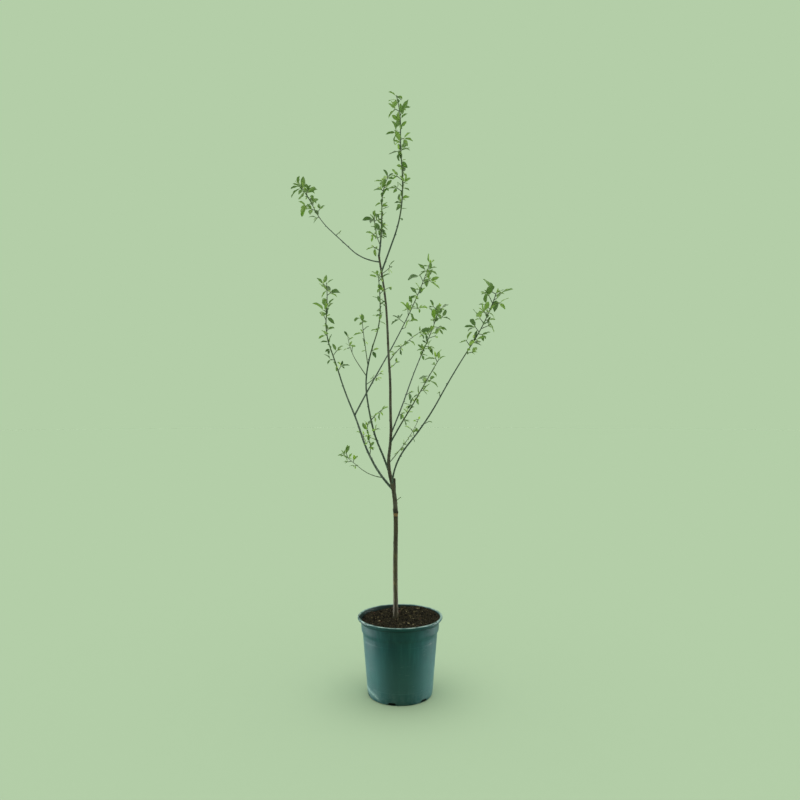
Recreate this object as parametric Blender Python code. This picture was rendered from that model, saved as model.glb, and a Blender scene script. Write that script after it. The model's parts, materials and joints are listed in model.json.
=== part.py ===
"""A young grafted plum tree in a nursery pot: pot, soil, trunk, boughs and masses of foliage.

Metres, +Z up. The origin is the middle of the pot's flat underside, +X is to the right and +Y to
the back. Each object is one closed solid, and neighbours that touch keep a gap of 0.3 mm.
"""

import math
from collections import namedtuple
from random import Random

import bmesh
import bpy
import numpy as np

GAP = 0.0003

# The pot: radius and height of each edge, from the middle of its underside outwards and up
POT_SEGMENTS = 32
POT_HEIGHT = 0.1926
POT_WALL = 0.0016
POT_FLOOR = 0.0026
FOOT_RADIUS = 0.0792
FOOT_BAND_HEIGHT = 0.0080
WALL_FOOT_RADIUS = 0.0812
WALL_TOP_HEIGHT = 0.1530
WALL_TOP_RADIUS = 0.0928
COLLAR_FOOT_HEIGHT = 0.1600
COLLAR_FOOT_RADIUS = 0.0962
LIP_FOOT_HEIGHT = 0.1810
COLLAR_TOP_RADIUS = 0.0974
LIP_EDGE_HEIGHT = 0.1883
LIP_RADIUS = 0.1056
MOUTH_RADIUS = 0.0998
EDGE_ROUND = 0.0010

# Drainage notches round the foot of the pot
NOTCHES = 6
NOTCH_TURN = -104.0
NOTCH_WIDTH = 0.021
NOTCH_HEIGHT = 0.0066
NOTCH_DEPTH = 0.013

# The soil: its level, its rise to the right, its swell and the seat that the trunk stands on
SOIL_LEVEL = 0.1858
SOIL_RISE = 0.034
SOIL_SHOULDER = 0.002
SOIL_RINGS = (0.80, 0.56, 0.32, 0.12)
SOIL_WAVES = 5
SOIL_WAVE_HEIGHT = 0.0005
SOIL_WAVE_NUMBER = 90
SOIL_SEED = 5
SEAT_LEVEL = 0.1824
SEAT_RADIUS = 0.0125
SEAT_EDGE = 0.020

# The trunk: its foot, and its radius at fractions of its length, with root flare, graft and fork
TRUNK_FOOT = (-0.01145, 0.012, SEAT_LEVEL + GAP)
TRUNK_SIDES = 10
TRUNK_GIRTH = ((0.0, 0.0072), (0.008, 0.0067), (0.025, 0.0062), (0.06, 0.0058), (0.280, 0.0055),
               (0.296, 0.0063), (0.312, 0.0055), (0.355, 0.0052), (0.400, 0.0046), (0.460, 0.0037),
               (0.700, 0.0029), (1.0, 0.0024))
FLARE_END = 0.025

# The cut stub beside the fork
STUB_AT = 0.338
STUB_LEAN = 0.0
STUB_BACK = 3.0
STUB_LENGTH = 0.044
STUB_FOOT_RADIUS = 0.0042
STUB_TIP_RADIUS = 0.0031

# Tubes of limbs
BOUGH_SIDES = 8
STEM_SIDES = 5
SPUR_SIDES = 3
TRUNK_RING_SPACING = 0.028
BOUGH_RING_SPACING = 0.022
STEM_RING_SPACING = 0.032
COLLAR_SWELL = 0.2
COLLAR_LENGTH = 0.007
ROOTED = 0.004

# Spurs along the stem of a mass: they turn round it by NODE_TURN degrees, give or take a scatter
STEPS = 60
NODE_TURN = 137.5
NODE_TURN_SCATTER = 25
NODE_SCATTER = (0.1, 0.9)
CROWDING = 0.85
SPUR_SIZES = (-0.4, 1.6)
SPUR_RISE = (0.2, 0.9)
SPUR_RADIUS = 0.0010
SPUR_TIP_RADIUS = 0.0008
SHORTEST_SPUR = 0.003
SESSILE_LEAVES = (1, 2)

# Leaves: angles in degrees, sizes as shares of the mass's leaf length, widths as shares of the length
TIP_OPENING = (20, 75)
SIDE_OPENING = (15, 80)
LEAF_TURN_SCATTER = 30
LEAF_RISE = (-0.6, 0.3)
LEAF_SIZES = (0.55, 1.12)
TIP_GROWTH = 0.5
TIP_LEAVES = 0.95
LEAF_WIDTHS = (0.33, 0.45)
LEAF_SPREAD = 0.32
LEAF_TILT = 0.45
ROOT_DEPTH = 0.0015
STALK_RADIUS = 0.0006
LEAF_BELLY = 0.6
LEAF_KEEL = 0.13
LEAF_CLEARANCE = 0.002
STEM_CLEARANCE = 0.0015
LEAF_SHARE = 0.50

BARK_COLOUR = (0.075, 0.068, 0.050, 1.0)
YOUNG_BARK_COLOUR = (0.060, 0.070, 0.055, 1.0)
LEAF_COLOUR = (0.105, 0.200, 0.040, 1.0)
POT_COLOUR = (0.020, 0.095, 0.080, 1.0)
SOIL_COLOUR = (0.030, 0.020, 0.013, 1.0)

Limb = namedtuple("Limb", "parent at length lean back foot_radius tip_radius bare")
Mass = namedtuple("Mass", "limb first nodes leaves leaf_length spur seed")
Spur = namedtuple("Spur", "root way reach")
Leaf = namedtuple("Leaf", "root way side length width")
Space = namedtuple("Space", "bark radii own others")

# Each limb: the limb that bears it and where along that one, its length, its lean to the right and
# to the back in degrees at even stations, its radius at foot and tip, and its bare share.
LIMBS = {
    "trunk": Limb(None, 0, 0.914, (1.2, -1.2, 0.5, 1.1, -2.7, -15, 8, -2, 0, -4, -2, -4, -9, -9),
                  (-1, -1, -2, -3, 0, 1, 1, 0, 0, 0), 0.0055, 0.0024, 1.0),
    "bough_low_left": Limb("trunk", 0.355, 0.580, (-45, -30, -19, -24, -17, -18, 8, -3),
                           (6, 20, 24, 4, -22, -24, -12), 0.0031, 0.0009, 0.58),
    "bough_low_inner": Limb("bough_low_left", 0.386, 0.470, (27, 29, 25, 19),
                            (8, 16, 16, 6), 0.0021, 0.0009, 0.56),
    "bough_second_left": Limb("trunk", 0.392, 0.505, (-17, -23, -12, -7, 11, 20, 0, -6),
                              (0, -24, -16, -12, -4), 0.0027, 0.0010, 0.62),
    "bough_long_right": Limb("trunk", 0.370, 0.546, (1, 39, 28, 33, 18),
                             (-44, -16, -12, -4), 0.0023, 0.0009, 0.70),
    "bough_middle_right": Limb("trunk", 0.510, 0.407, (23, 19, 24, 18),
                               (22, 34, 28, 12), 0.0019, 0.0009, 0.60),
    "bough_short_right": Limb("trunk", 0.485, 0.291, (28, 31, 29, 30),
                              (-30, -52, -48, -30), 0.0021, 0.0008, 0.22),
    "bough_upper_left": Limb("trunk", 0.983, 0.338, (-84, -44, -45, -26, -38),
                             (26, 30, 22, 8), 0.0016, 0.0008, 0.64),
    "bough_leader": Limb("trunk", 0.955, 0.443, (22, 21, 5, -5, 1, -14),
                         (-20, -6, 2, 6), 0.0022, 0.0010, 0.30),
    "bough_centre": Limb("trunk", 1.0, 0.205, (8, 2, 0, 26), (12, 4, -6), 0.0024, 0.0008, 0.20),
    "twig_centre_left": Limb("bough_centre", 0.14, 0.100, (-21, -12, -1), (40, 34, 12),
                             0.0011, 0.0007, 0.0),
    "twig_foot_left": Limb("bough_low_left", 0.070, 0.124, (-84, -55, -50), (30, 44, 30),
                           0.0011, 0.0006, 0.0),
    "twig_low_upright": Limb("bough_low_left", 0.184, 0.094, (14, -10, -3), (-40, -36, -15),
                             0.0011, 0.0006, 0.0),
    "twig_inner_left": Limb("bough_second_left", 0.307, 0.045, (38, 55), (-40, -50, -35),
                            0.0011, 0.0007, 0.0),
    "twig_outer_left": Limb("bough_second_left", 0.531, 0.154, (-35, -34, -22, -11),
                            (36, 50, 36), 0.0012, 0.0006, 0.0),
    "twig_upright_left": Limb("bough_second_left", 0.581, 0.136, (-7, -6, -4),
                              (-26, -40, -24), 0.0011, 0.0006, 0.0),
    "twig_cross": Limb("bough_second_left", 0.490, 0.050, (57, 45, 50), (34, 46, 30),
                       0.0010, 0.0006, 0.0),
    "twig_fine_right": Limb("trunk", 0.429, 0.171, (42, 38, 24), (40, 52, 36),
                            0.0012, 0.0006, 0.0),
    "twig_behind": Limb("trunk", 0.708, 0.161, (30, 43, 54), (48, 56, 42), 0.0013, 0.0006, 0.0),
    "spur_trunk_right": Limb("trunk", 0.690, 0.022, (60, 40), (-30, -10), 0.0010, 0.0007, 0.0),
    "spur_trunk_high_right": Limb("trunk", 0.905, 0.014, (60,), (25,), 0.0010, 0.0007, 0.0),
    "spur_trunk_top_right": Limb("trunk", 0.950, 0.030, (54, 40), (35, 20), 0.0010, 0.0007, 0.0),
    "spur_trunk_low_right": Limb("trunk", 0.322, 0.017, (50,), (-20,), 0.0009, 0.0007, 0.0),
    "spur_trunk_left": Limb("trunk", 0.870, 0.014, (-55,), (-30,), 0.0010, 0.0007, 0.0),
    "spur_trunk_high_left": Limb("trunk", 0.900, 0.014, (-50,), (40,), 0.0010, 0.0007, 0.0),
    "spur_trunk_top_left": Limb("trunk", 0.938, 0.016, (-50,), (-25,), 0.0010, 0.0007, 0.0),
    "spur_centre": Limb("bough_centre", 0.07, 0.017, (-60,), (-20,), 0.0010, 0.0007, 0.0),
    "spur_upper_left": Limb("bough_upper_left", 0.440, 0.015, (52,), (-25,), 0.0009, 0.0007, 0.0),
    "spur_low_left": Limb("bough_low_left", 0.270, 0.014, (10,), (50,), 0.0010, 0.0007, 0.0),
    "spur_second_left": Limb("bough_second_left", 0.240, 0.012, (20,), (-40,), 0.0010, 0.0007, 0.0),
    "spur_long_right_low": Limb("bough_long_right", 0.290, 0.014, (-10,), (35,), 0.0010, 0.0007, 0.0),
    "spur_long_right": Limb("bough_long_right", 0.360, 0.014, (62,), (-20,), 0.0010, 0.0007, 0.0),
    "spur_long_right_high": Limb("bough_long_right", 0.500, 0.014, (-8,), (-40,), 0.0010, 0.0007, 0.0),
    "spur_middle_right_low": Limb("bough_middle_right", 0.130, 0.012, (60,), (10,), 0.0010, 0.0007, 0.0),
    "spur_middle_right": Limb("bough_middle_right", 0.290, 0.012, (60,), (-10,), 0.0010, 0.0007, 0.0),
}

MASSES = {
    "foliage_low_left": Mass("bough_low_left", 0.58, 19, (2, 5), 0.030, 0.013, 57),
    "foliage_low_inner": Mass("bough_low_inner", 0.56, 20, (2, 5), 0.035, 0.017, 114),
    "foliage_second_left": Mass("bough_second_left", 0.62, 14, (2, 4), 0.025, 0.008, 154),
    "foliage_long_right": Mass("bough_long_right", 0.70, 21, (2, 5), 0.030, 0.017, 527),
    "foliage_middle_right": Mass("bough_middle_right", 0.60, 20, (2, 5), 0.031, 0.014, 239),
    "foliage_short_right": Mass("bough_short_right", 0.22, 16, (2, 4), 0.025, 0.010, 408),
    "foliage_upper_left": Mass("bough_upper_left", 0.64, 14, (2, 5), 0.032, 0.014, 791),
    "foliage_leader": Mass("bough_leader", 0.30, 28, (2, 5), 0.030, 0.011, 1492),
    "foliage_centre": Mass("bough_centre", 0.2, 17, (2, 4), 0.025, 0.009, 273),
    "foliage_centre_left": Mass("twig_centre_left", 0.25, 8, (2, 4), 0.026, 0.009, 206),
    "foliage_foot_left": Mass("twig_foot_left", 0.6, 6, (2, 3), 0.024, 0.008, 1171),
    "foliage_low_upright": Mass("twig_low_upright", 0.05, 6, (2, 3), 0.022, 0.006, 543),
    "foliage_inner_left": Mass("twig_inner_left", 0.1, 4, (2, 3), 0.025, 0.009, 360),
    "foliage_outer_left": Mass("twig_outer_left", 0.6, 6, (1, 3), 0.025, 0.009, 321),
    "foliage_upright_left": Mass("twig_upright_left", 0.15, 7, (1, 3), 0.023, 0.008, 885),
    "foliage_cross": Mass("twig_cross", 0.3, 3, (1, 2), 0.019, 0.006, 5),
    "foliage_fine_right": Mass("twig_fine_right", 0.12, 8, (1, 2), 0.021, 0.006, 264),
    "foliage_behind": Mass("twig_behind", 0.08, 9, (1, 3), 0.026, 0.009, 187),
    "foliage_trunk_right": Mass("spur_trunk_right", 0.5, 2, (2, 3), 0.023, 0.006, 117),
    "foliage_trunk_high_right": Mass("spur_trunk_high_right", 0.5, 1, (1, 2), 0.023, 0.005, 163),
    "foliage_trunk_top_right": Mass("spur_trunk_top_right", 0.6, 2, (2, 4), 0.024, 0.005, 8),
    "foliage_trunk_low_right": Mass("spur_trunk_low_right", 0.6, 1, (1, 1), 0.011, 0.002, 95),
    "foliage_trunk_left": Mass("spur_trunk_left", 0.5, 1, (1, 2), 0.022, 0.005, 398),
    "foliage_trunk_high_left": Mass("spur_trunk_high_left", 0.5, 1, (2, 2), 0.022, 0.005, 203),
    "foliage_trunk_top_left": Mass("spur_trunk_top_left", 0.5, 1, (2, 3), 0.024, 0.005, 243),
    "foliage_spur_centre": Mass("spur_centre", 0.5, 2, (2, 3), 0.022, 0.005, 131),
    "foliage_spur_upper_left": Mass("spur_upper_left", 0.6, 1, (1, 2), 0.012, 0.002, 46),
    "foliage_spur_low_left": Mass("spur_low_left", 0.5, 1, (2, 3), 0.025, 0.005, 240),
    "foliage_spur_second_left": Mass("spur_second_left", 0.5, 1, (2, 2), 0.023, 0.005, 266),
    "foliage_spur_long_right_low": Mass("spur_long_right_low", 0.5, 1, (1, 2), 0.015, 0.005, 208),
    "foliage_spur_long_right": Mass("spur_long_right", 0.5, 1, (2, 2), 0.017, 0.005, 390),
    "foliage_spur_long_right_high": Mass("spur_long_right_high", 0.5, 1, (1, 2), 0.015, 0.005, 32),
    "foliage_spur_middle_right_low": Mass("spur_middle_right_low", 0.5, 1, (1, 2), 0.017, 0.005, 212),
    "foliage_spur_middle_right": Mass("spur_middle_right", 0.5, 1, (1, 2), 0.02, 0.005, 212),
}


def unit(vector):
    return vector / np.linalg.norm(vector)


def course(start, limb):
    """Points of a limb, from its lean to the right and to the back in degrees at even stations."""
    middle = (np.arange(STEPS) + 0.5) / STEPS
    right = np.interp(middle, np.linspace(0, 1, len(limb.lean)), limb.lean)
    back = np.interp(middle, np.linspace(0, 1, len(limb.back)), limb.back)
    way = np.stack([np.tan(np.radians(right)), np.tan(np.radians(back)), np.ones(STEPS)], 1)
    way *= limb.length / STEPS / np.linalg.norm(way, axis=1)[:, None]
    return np.vstack([start, start + np.cumsum(way, 0)])


def place(points, fraction):
    """Point and direction of growth at a fraction of a limb's length."""
    step = min(int(fraction * STEPS), STEPS - 1)
    along = points[step + 1] - points[step]
    return points[step] + (fraction * STEPS - step) * along, unit(along)


def radius_at(limb, fraction):
    return limb.foot_radius + (limb.tip_radius - limb.foot_radius) * fraction


def lay_out():
    """Courses of all the limbs, each from its place on the limb that bears it."""
    courses = {}
    for name, limb in LIMBS.items():
        start = np.array(TRUNK_FOOT) if limb.parent is None else place(courses[limb.parent], limb.at)[0]
        courses[name] = course(start, limb)
    return courses


def across(along):
    """Two directions square to a shoot and to each other."""
    first = unit(np.cross(along, (0.0, 1.0, 0.0)))
    return first, np.cross(first, along)


def turned(along, degrees):
    """Direction square to a shoot, turned round it."""
    first, second = across(along)
    return math.cos(math.radians(degrees)) * first + math.sin(math.radians(degrees)) * second


def new_leaf(random, mass, spur, turn, opening, size):
    """Leaf on its stalk, that opens from the tip of its spur and hangs a little."""
    droop = np.array((0.0, 0.0, random.uniform(*LEAF_RISE)))
    way = unit(spur.way * math.cos(opening) + turned(spur.way, turn) * math.sin(opening) + droop)
    length = mass.leaf_length * random.uniform(*LEAF_SIZES) * size
    width = length * random.uniform(*LEAF_WIDTHS)
    tilt = np.array([random.gauss(0, LEAF_TILT), random.gauss(0, LEAF_TILT), 1.0])
    side = unit(np.cross(way, tilt))
    root = spur.root + spur.way * max(0.0, spur.reach - ROOT_DEPTH)
    return Leaf(root, way, side, length, width)


def leaf_points(leaf):
    """Places on a leaf, clear of its root, that have to stay in the mass's own space."""
    line = leaf.root + leaf.way * leaf.length * np.array([[0.25], [0.5], [0.75], [1.0]])
    middle = leaf.root + leaf.way * leaf.length * LEAF_BELLY
    half = leaf.side * leaf.width * 0.5
    return np.vstack([line, middle + half, middle - half])


def gaps(places, points):
    return np.linalg.norm(places[:, None, :] - points[None, :, :], axis=2)


def fits(leaf, space):
    """True where a leaf stays clear of all bark and nearer its own stem than any other mass's."""
    places = leaf_points(leaf)
    if (gaps(places, space.bark) - space.radii).min() < LEAF_CLEARANCE:
        return False
    near = gaps(places, space.own).min(axis=1)
    return (gaps(places, space.others).min(axis=1) > near + STEM_CLEARANCE).all()


def spots(leaf):
    """The middle and the tip of a leaf."""
    return leaf.root + leaf.way * leaf.length * np.array([[0.5], [1.0]])


def apart(leaf, others):
    """True where a leaf's middle and tip keep their distance from those of the leaves before it."""
    if not others:
        return True
    return gaps(spots(leaf), np.vstack([spots(other) for other in others])).min() > leaf.length * LEAF_SPREAD


def grow(mass, courses, space):
    """Spurs and leaves of one mass: they turn round its stem by the golden angle."""
    points = courses[mass.limb]
    random = Random(mass.seed)
    turn = random.uniform(0, 360)
    spurs = []
    leaves = []
    for node in range(mass.nodes + 1):
        terminal = node == mass.nodes
        share = min(1.0, (node + random.uniform(*NODE_SCATTER)) / mass.nodes)
        root, along = place(points, 1.0 if terminal else mass.first + (1 - mass.first) * share ** CROWDING)
        turn += NODE_TURN + random.uniform(-NODE_TURN_SCATTER, NODE_TURN_SCATTER)
        way = along if terminal else unit(along * random.uniform(*SPUR_RISE) + turned(along, turn))
        reach = mass.spur * random.uniform(*SPUR_SIZES)
        if terminal or reach < SHORTEST_SPUR:
            reach = 0.0
        count = random.randint(*(mass.leaves if terminal or reach > 0 else SESSILE_LEAVES))
        spur = Spur(root, way, reach)
        kept = []
        for number in range(count):
            opening = math.radians(random.uniform(*(TIP_OPENING if terminal else SIDE_OPENING)))
            round_spur = turn + number * 360 / count + random.uniform(-LEAF_TURN_SCATTER, LEAF_TURN_SCATTER)
            size = TIP_LEAVES if terminal else 1 + TIP_GROWTH * (share - 0.5)
            leaf = new_leaf(random, mass, spur, round_spur, opening, size)
            if fits(leaf, space) and apart(leaf, leaves + kept):
                kept.append(leaf)
        if kept and reach > 0:
            spurs.append(spur)
        leaves.extend(kept)
    return spurs, leaves


def split_up(courses):
    """Bare course of each limb and stem course of each mass."""
    bark = {}
    for name, limb in LIMBS.items():
        end = int(round(limb.bare * STEPS))
        if end > 0:
            bark[name] = courses[name][:end + 1]
    stems = {}
    for name, mass in MASSES.items():
        begin = int(round(LIMBS[mass.limb].bare * STEPS))
        stems[name] = courses[mass.limb][begin:]
    return bark, stems


def space_of(name, bark, stems):
    """The space of one mass: all bark with its radius, its own stem and the other masses' stems."""
    points = np.vstack(list(bark.values()))
    radii = np.concatenate([np.full(len(part), LIMBS[limb].foot_radius) for limb, part in bark.items()])
    others = np.vstack([part for other, part in stems.items() if other != name])
    return Space(points, radii, stems[name], others)


def girth(name, fraction):
    """Radius of a limb at a fraction of its length, with the swelling where a bough leaves the trunk."""
    if name == "trunk":
        return float(np.interp(fraction, *zip(*TRUNK_GIRTH)))
    limb = LIMBS[name]
    radius = radius_at(limb, fraction)
    if limb.bare:
        radius *= 1 + COLLAR_SWELL * math.exp(-fraction * limb.length / COLLAR_LENGTH)
    return radius


def tube(points, radii, sides):
    """Closed tube round a course, its rings square to it and its ends flat, as corners and faces."""
    ways = np.gradient(points, axis=0)
    ways /= np.linalg.norm(ways, axis=1)[:, None]
    side = across(ways[0])[0]
    turns = 2 * math.pi * np.arange(sides)[:, None] / sides
    corners = []
    for point, way, radius in zip(points, ways, radii):
        side = unit(side - side.dot(way) * way)
        corners.extend(point + radius * (np.cos(turns) * side + np.sin(turns) * np.cross(way, side)))
    faces = [tuple(reversed(range(sides))), tuple(range(len(corners) - sides, len(corners)))]
    for ring in range(len(points) - 1):
        low = ring * sides
        for corner in range(sides):
            following = (corner + 1) % sides
            faces.append((low + corner, low + following, low + sides + following, low + sides + corner))
    return corners, faces


def limb_rings(name, courses, begin, end, spacing):
    """Ring places and radii of a limb from one fraction of its length to another."""
    length = (end - begin) * LIMBS[name].length
    fractions = np.linspace(begin, end, max(2, round(length / spacing) + 1))
    if name == "trunk":
        fractions = np.unique(np.concatenate([fractions, [row[0] for row in TRUNK_GIRTH]]))
    points = np.array([place(courses[name], fraction)[0] for fraction in fractions])
    return points, [girth(name, fraction) for fraction in fractions]


def new_object(name, corners, faces, material=None):
    """Object with a mesh of these corners and faces, turned outside out."""
    mesh = bpy.data.meshes.new(name)
    mesh.from_pydata([tuple(corner) for corner in corners], [], faces)
    shape = bmesh.new()
    shape.from_mesh(mesh)
    bmesh.ops.recalc_face_normals(shape, faces=shape.faces)
    shape.to_mesh(mesh)
    shape.free()
    if material:
        mesh.materials.append(material)
    made = bpy.data.objects.new(name, mesh)
    bpy.context.scene.collection.objects.link(made)
    return made


def new_material(name, colour, roughness):
    material = bpy.data.materials.new(name)
    material.use_nodes = True
    shader = material.node_tree.nodes["Principled BSDF"]
    shader.inputs["Base Color"].default_value = colour
    shader.inputs["Roughness"].default_value = roughness
    shader.inputs["Metallic"].default_value = 0.0
    return material


def smooth(made, degrees):
    made.data.shade_smooth()
    made.data.set_sharp_from_angle(angle=math.radians(degrees))


def keep_largest_island(shape):
    """Drops loose scraps and the walls of sealed hollows, so that one outer body is left."""
    unseen = set(shape.verts)
    islands = []
    while unseen:
        island = {unseen.pop()}
        edge_of_it = list(island)
        while edge_of_it:
            vert = edge_of_it.pop()
            for edge in vert.link_edges:
                other = edge.other_vert(vert)
                if other in unseen:
                    unseen.remove(other)
                    island.add(other)
                    edge_of_it.append(other)
        islands.append(island)
    islands.sort(key=len)
    for island in islands[:-1]:
        bmesh.ops.delete(shape, geom=list(island), context="VERTS")


def fuse(base, pieces, cutters):
    """Joins the pieces to the base in one body, cuts it clear of its neighbours and drops the helpers."""
    if pieces:
        group = bpy.data.collections.new(base.name + "_pieces")
        bpy.context.scene.collection.children.link(group)
        for piece in pieces:
            bpy.context.scene.collection.objects.unlink(piece)
            group.objects.link(piece)
        union = base.modifiers.new("fuse", "BOOLEAN")
        union.operation = "UNION"
        union.operand_type = "COLLECTION"
        union.collection = group
    for cutter in cutters:
        cut = base.modifiers.new("clear " + cutter.name, "BOOLEAN")
        cut.operation = "DIFFERENCE"
        cut.object = cutter
    graph = bpy.context.evaluated_depsgraph_get()
    mesh = bpy.data.meshes.new_from_object(base.evaluated_get(graph))
    base.modifiers.clear()
    shape = bmesh.new()
    shape.from_mesh(mesh)
    keep_largest_island(shape)
    bmesh.ops.triangulate(shape, faces=shape.faces)
    shape.to_mesh(mesh)
    shape.free()
    base.data = mesh
    for helper in list(pieces) + list(cutters):
        bpy.data.objects.remove(helper)
    if pieces:
        bpy.data.collections.remove(group)


def lathe(profile, segments):
    """Corners and faces of a profile turned round the Z axis; points on the axis are shared."""
    corners = []
    rings = []
    for radius, height in profile:
        count = segments if radius > 0 else 1
        rings.append(range(len(corners), len(corners) + count))
        for segment in range(count):
            turn = 2 * math.pi * segment / segments
            corners.append((radius * math.cos(turn), radius * math.sin(turn), height))
    faces = []
    for low, high in zip(rings, rings[1:]):
        for segment in range(segments):
            following = (segment + 1) % segments
            corner = [low[segment % len(low)], low[following % len(low)],
                      high[following % len(high)], high[segment % len(high)]]
            faces.append(tuple(dict.fromkeys(corner)))
    return corners, faces


def wall_radius(height):
    """Outer radius of the pot's foot, wall and collar at a height."""
    heights = (EDGE_ROUND, FOOT_BAND_HEIGHT, WALL_TOP_HEIGHT, COLLAR_FOOT_HEIGHT, LIP_FOOT_HEIGHT)
    radii = (FOOT_RADIUS, WALL_FOOT_RADIUS, WALL_TOP_RADIUS, COLLAR_FOOT_RADIUS, COLLAR_TOP_RADIUS)
    return float(np.interp(height, heights, radii))


def pot_inside():
    """Profile of the pot's inner face, from its floor up to the edge of its mouth."""
    heights = (POT_FLOOR, FOOT_BAND_HEIGHT, WALL_TOP_HEIGHT, COLLAR_FOOT_HEIGHT, LIP_FOOT_HEIGHT)
    return [(wall_radius(height) - POT_WALL, height) for height in heights] + [(MOUTH_RADIUS, POT_HEIGHT)]


def inner_radius(height):
    """Radius of the pot's inner face at a height."""
    radii, heights = zip(*pot_inside())
    return float(np.interp(height, heights, radii))


def make_pot():
    """Thin-walled pot with a thick rounded lip, a collar under it and notches round its foot."""
    profile = [(0.0, POT_FLOOR)] + pot_inside()
    profile += [(LIP_RADIUS - EDGE_ROUND, POT_HEIGHT), (LIP_RADIUS, POT_HEIGHT - EDGE_ROUND),
                (LIP_RADIUS, LIP_EDGE_HEIGHT)]
    for height in (LIP_FOOT_HEIGHT, COLLAR_FOOT_HEIGHT, WALL_TOP_HEIGHT, FOOT_BAND_HEIGHT):
        profile.append((wall_radius(height), height))
    profile += [(FOOT_RADIUS, EDGE_ROUND), (FOOT_RADIUS - EDGE_ROUND, 0.0), (0.0, 0.0)]
    pot = new_object("pot", *lathe(profile, POT_SEGMENTS), new_material("pot", POT_COLOUR, 0.55))
    cutters = []
    for notch in range(NOTCHES):
        turn = math.radians(NOTCH_TURN + notch * 360 / NOTCHES)
        cutters.append(notch_cutter(turn))
    fuse(pot, [], cutters)
    smooth(pot, 40)


def notch_cutter(turn):
    """Block that cuts one notch in the pot's wall and the rim of its floor."""
    out = np.array((math.cos(turn), math.sin(turn), 0.0))
    side = np.array((-math.sin(turn), math.cos(turn), 0.0))
    corners = []
    for radius in (FOOT_RADIUS - NOTCH_DEPTH, LIP_RADIUS):
        for height in (-NOTCH_HEIGHT, NOTCH_HEIGHT):
            for half in (-NOTCH_WIDTH / 2, NOTCH_WIDTH / 2):
                corners.append(out * radius + side * half + np.array((0, 0, height)))
    faces = [(0, 1, 3, 2), (4, 6, 7, 5), (0, 4, 5, 1), (2, 3, 7, 6), (0, 2, 6, 4), (1, 5, 7, 3)]
    return new_object("notch", corners, faces)


def soil_surface():
    """Height of the soil at a place: a gentle rise, waves and a flat seat under the trunk."""
    random = Random(SOIL_SEED)
    waves = [(random.uniform(-SOIL_WAVE_NUMBER, SOIL_WAVE_NUMBER),
              random.uniform(-SOIL_WAVE_NUMBER, SOIL_WAVE_NUMBER),
              random.uniform(0, 2 * math.pi)) for _ in range(SOIL_WAVES)]

    def height_at(x, y):
        lumps = sum(math.sin(x * to_right + y * to_back + phase) for to_right, to_back, phase in waves)
        height = SOIL_LEVEL + SOIL_RISE * x + SOIL_WAVE_HEIGHT * lumps
        away = math.hypot(x - TRUNK_FOOT[0], y - TRUNK_FOOT[1])
        blend = min(1.0, max(0.0, (away - SEAT_RADIUS) / SEAT_EDGE))
        return SEAT_LEVEL + (height - SEAT_LEVEL) * blend

    return height_at


def make_soil():
    """Compost that fills the pot, with a lumpy surface and a flat seat under the trunk."""
    height_at = soil_surface()
    inside = [(radius - GAP, height) for radius, height in pot_inside()[:-2]]
    inside[0] = (inside[0][0], POT_FLOOR + GAP)
    corners, faces = lathe([(0.0, POT_FLOOR + GAP)] + inside, POT_SEGMENTS)
    low = len(corners) - POT_SEGMENTS
    shoulders = []
    edges = []
    for segment in range(POT_SEGMENTS):
        turn = 2 * math.pi * segment / POT_SEGMENTS
        out = np.array((math.cos(turn), math.sin(turn), 0.0))
        level = out * (inner_radius(SOIL_LEVEL) - GAP)
        height = height_at(level[0], level[1])
        shoulder = min(LIP_FOOT_HEIGHT, height - SOIL_SHOULDER)
        shoulders.append(out * (inner_radius(shoulder) - GAP) + (0, 0, shoulder))
        edges.append(out * (inner_radius(height) - GAP) + (0, 0, height))
    foot = np.array(TRUNK_FOOT)
    rings = [shoulders, edges]
    for share in SOIL_RINGS:
        ring = [foot + (edge - foot) * share for edge in edges]
        rings.append([(x, y, height_at(x, y)) for x, y, z in ring])
    for ring in rings:
        corners.extend(ring)
        for segment in range(POT_SEGMENTS):
            following = (segment + 1) % POT_SEGMENTS
            faces.append((low + segment, low + following,
                          low + POT_SEGMENTS + following, low + POT_SEGMENTS + segment))
        low += POT_SEGMENTS
    faces.append(tuple(range(low, low + POT_SEGMENTS)))
    soil = new_object("soil", corners, faces, new_material("soil", SOIL_COLOUR, 0.95))
    smooth(soil, 60)


def stub_rings(courses, grown):
    """The cut stub that stands beside the fork, grown by a margin for cutting its neighbours clear."""
    start = place(courses["trunk"], STUB_AT)[0]
    lean = math.tan(math.radians(STUB_LEAN))
    back = math.tan(math.radians(STUB_BACK))
    end = start + unit(np.array((lean, back, 1.0))) * (STUB_LENGTH + grown)
    points = np.array([start, (start + end) / 2, end])
    radii = np.linspace(STUB_FOOT_RADIUS, STUB_TIP_RADIUS, 3)
    return points, radii + grown


def clearing(parent, courses):
    """Cutters with the shape of a bare limb and the stub, grown by the gap."""
    spacing = TRUNK_RING_SPACING if parent == "trunk" else BOUGH_RING_SPACING
    points, radii = limb_rings(parent, courses, 0.0, LIMBS[parent].bare, spacing)
    way = unit(points[-1] - points[-2])
    points = np.vstack([points, points[-1] + way * GAP])
    sides = TRUNK_SIDES if parent == "trunk" else BOUGH_SIDES
    grown = GAP / math.cos(math.pi / sides)
    radii = [radius + grown for radius in radii + radii[-1:]]
    cutters = [new_object("clearing", *tube(points, radii, sides))]
    if parent == "trunk":
        grown = GAP / math.cos(math.pi / BOUGH_SIDES)
        cutters.append(new_object("stub_clearing", *tube(*stub_rings(courses, grown), BOUGH_SIDES)))
    return cutters


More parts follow.
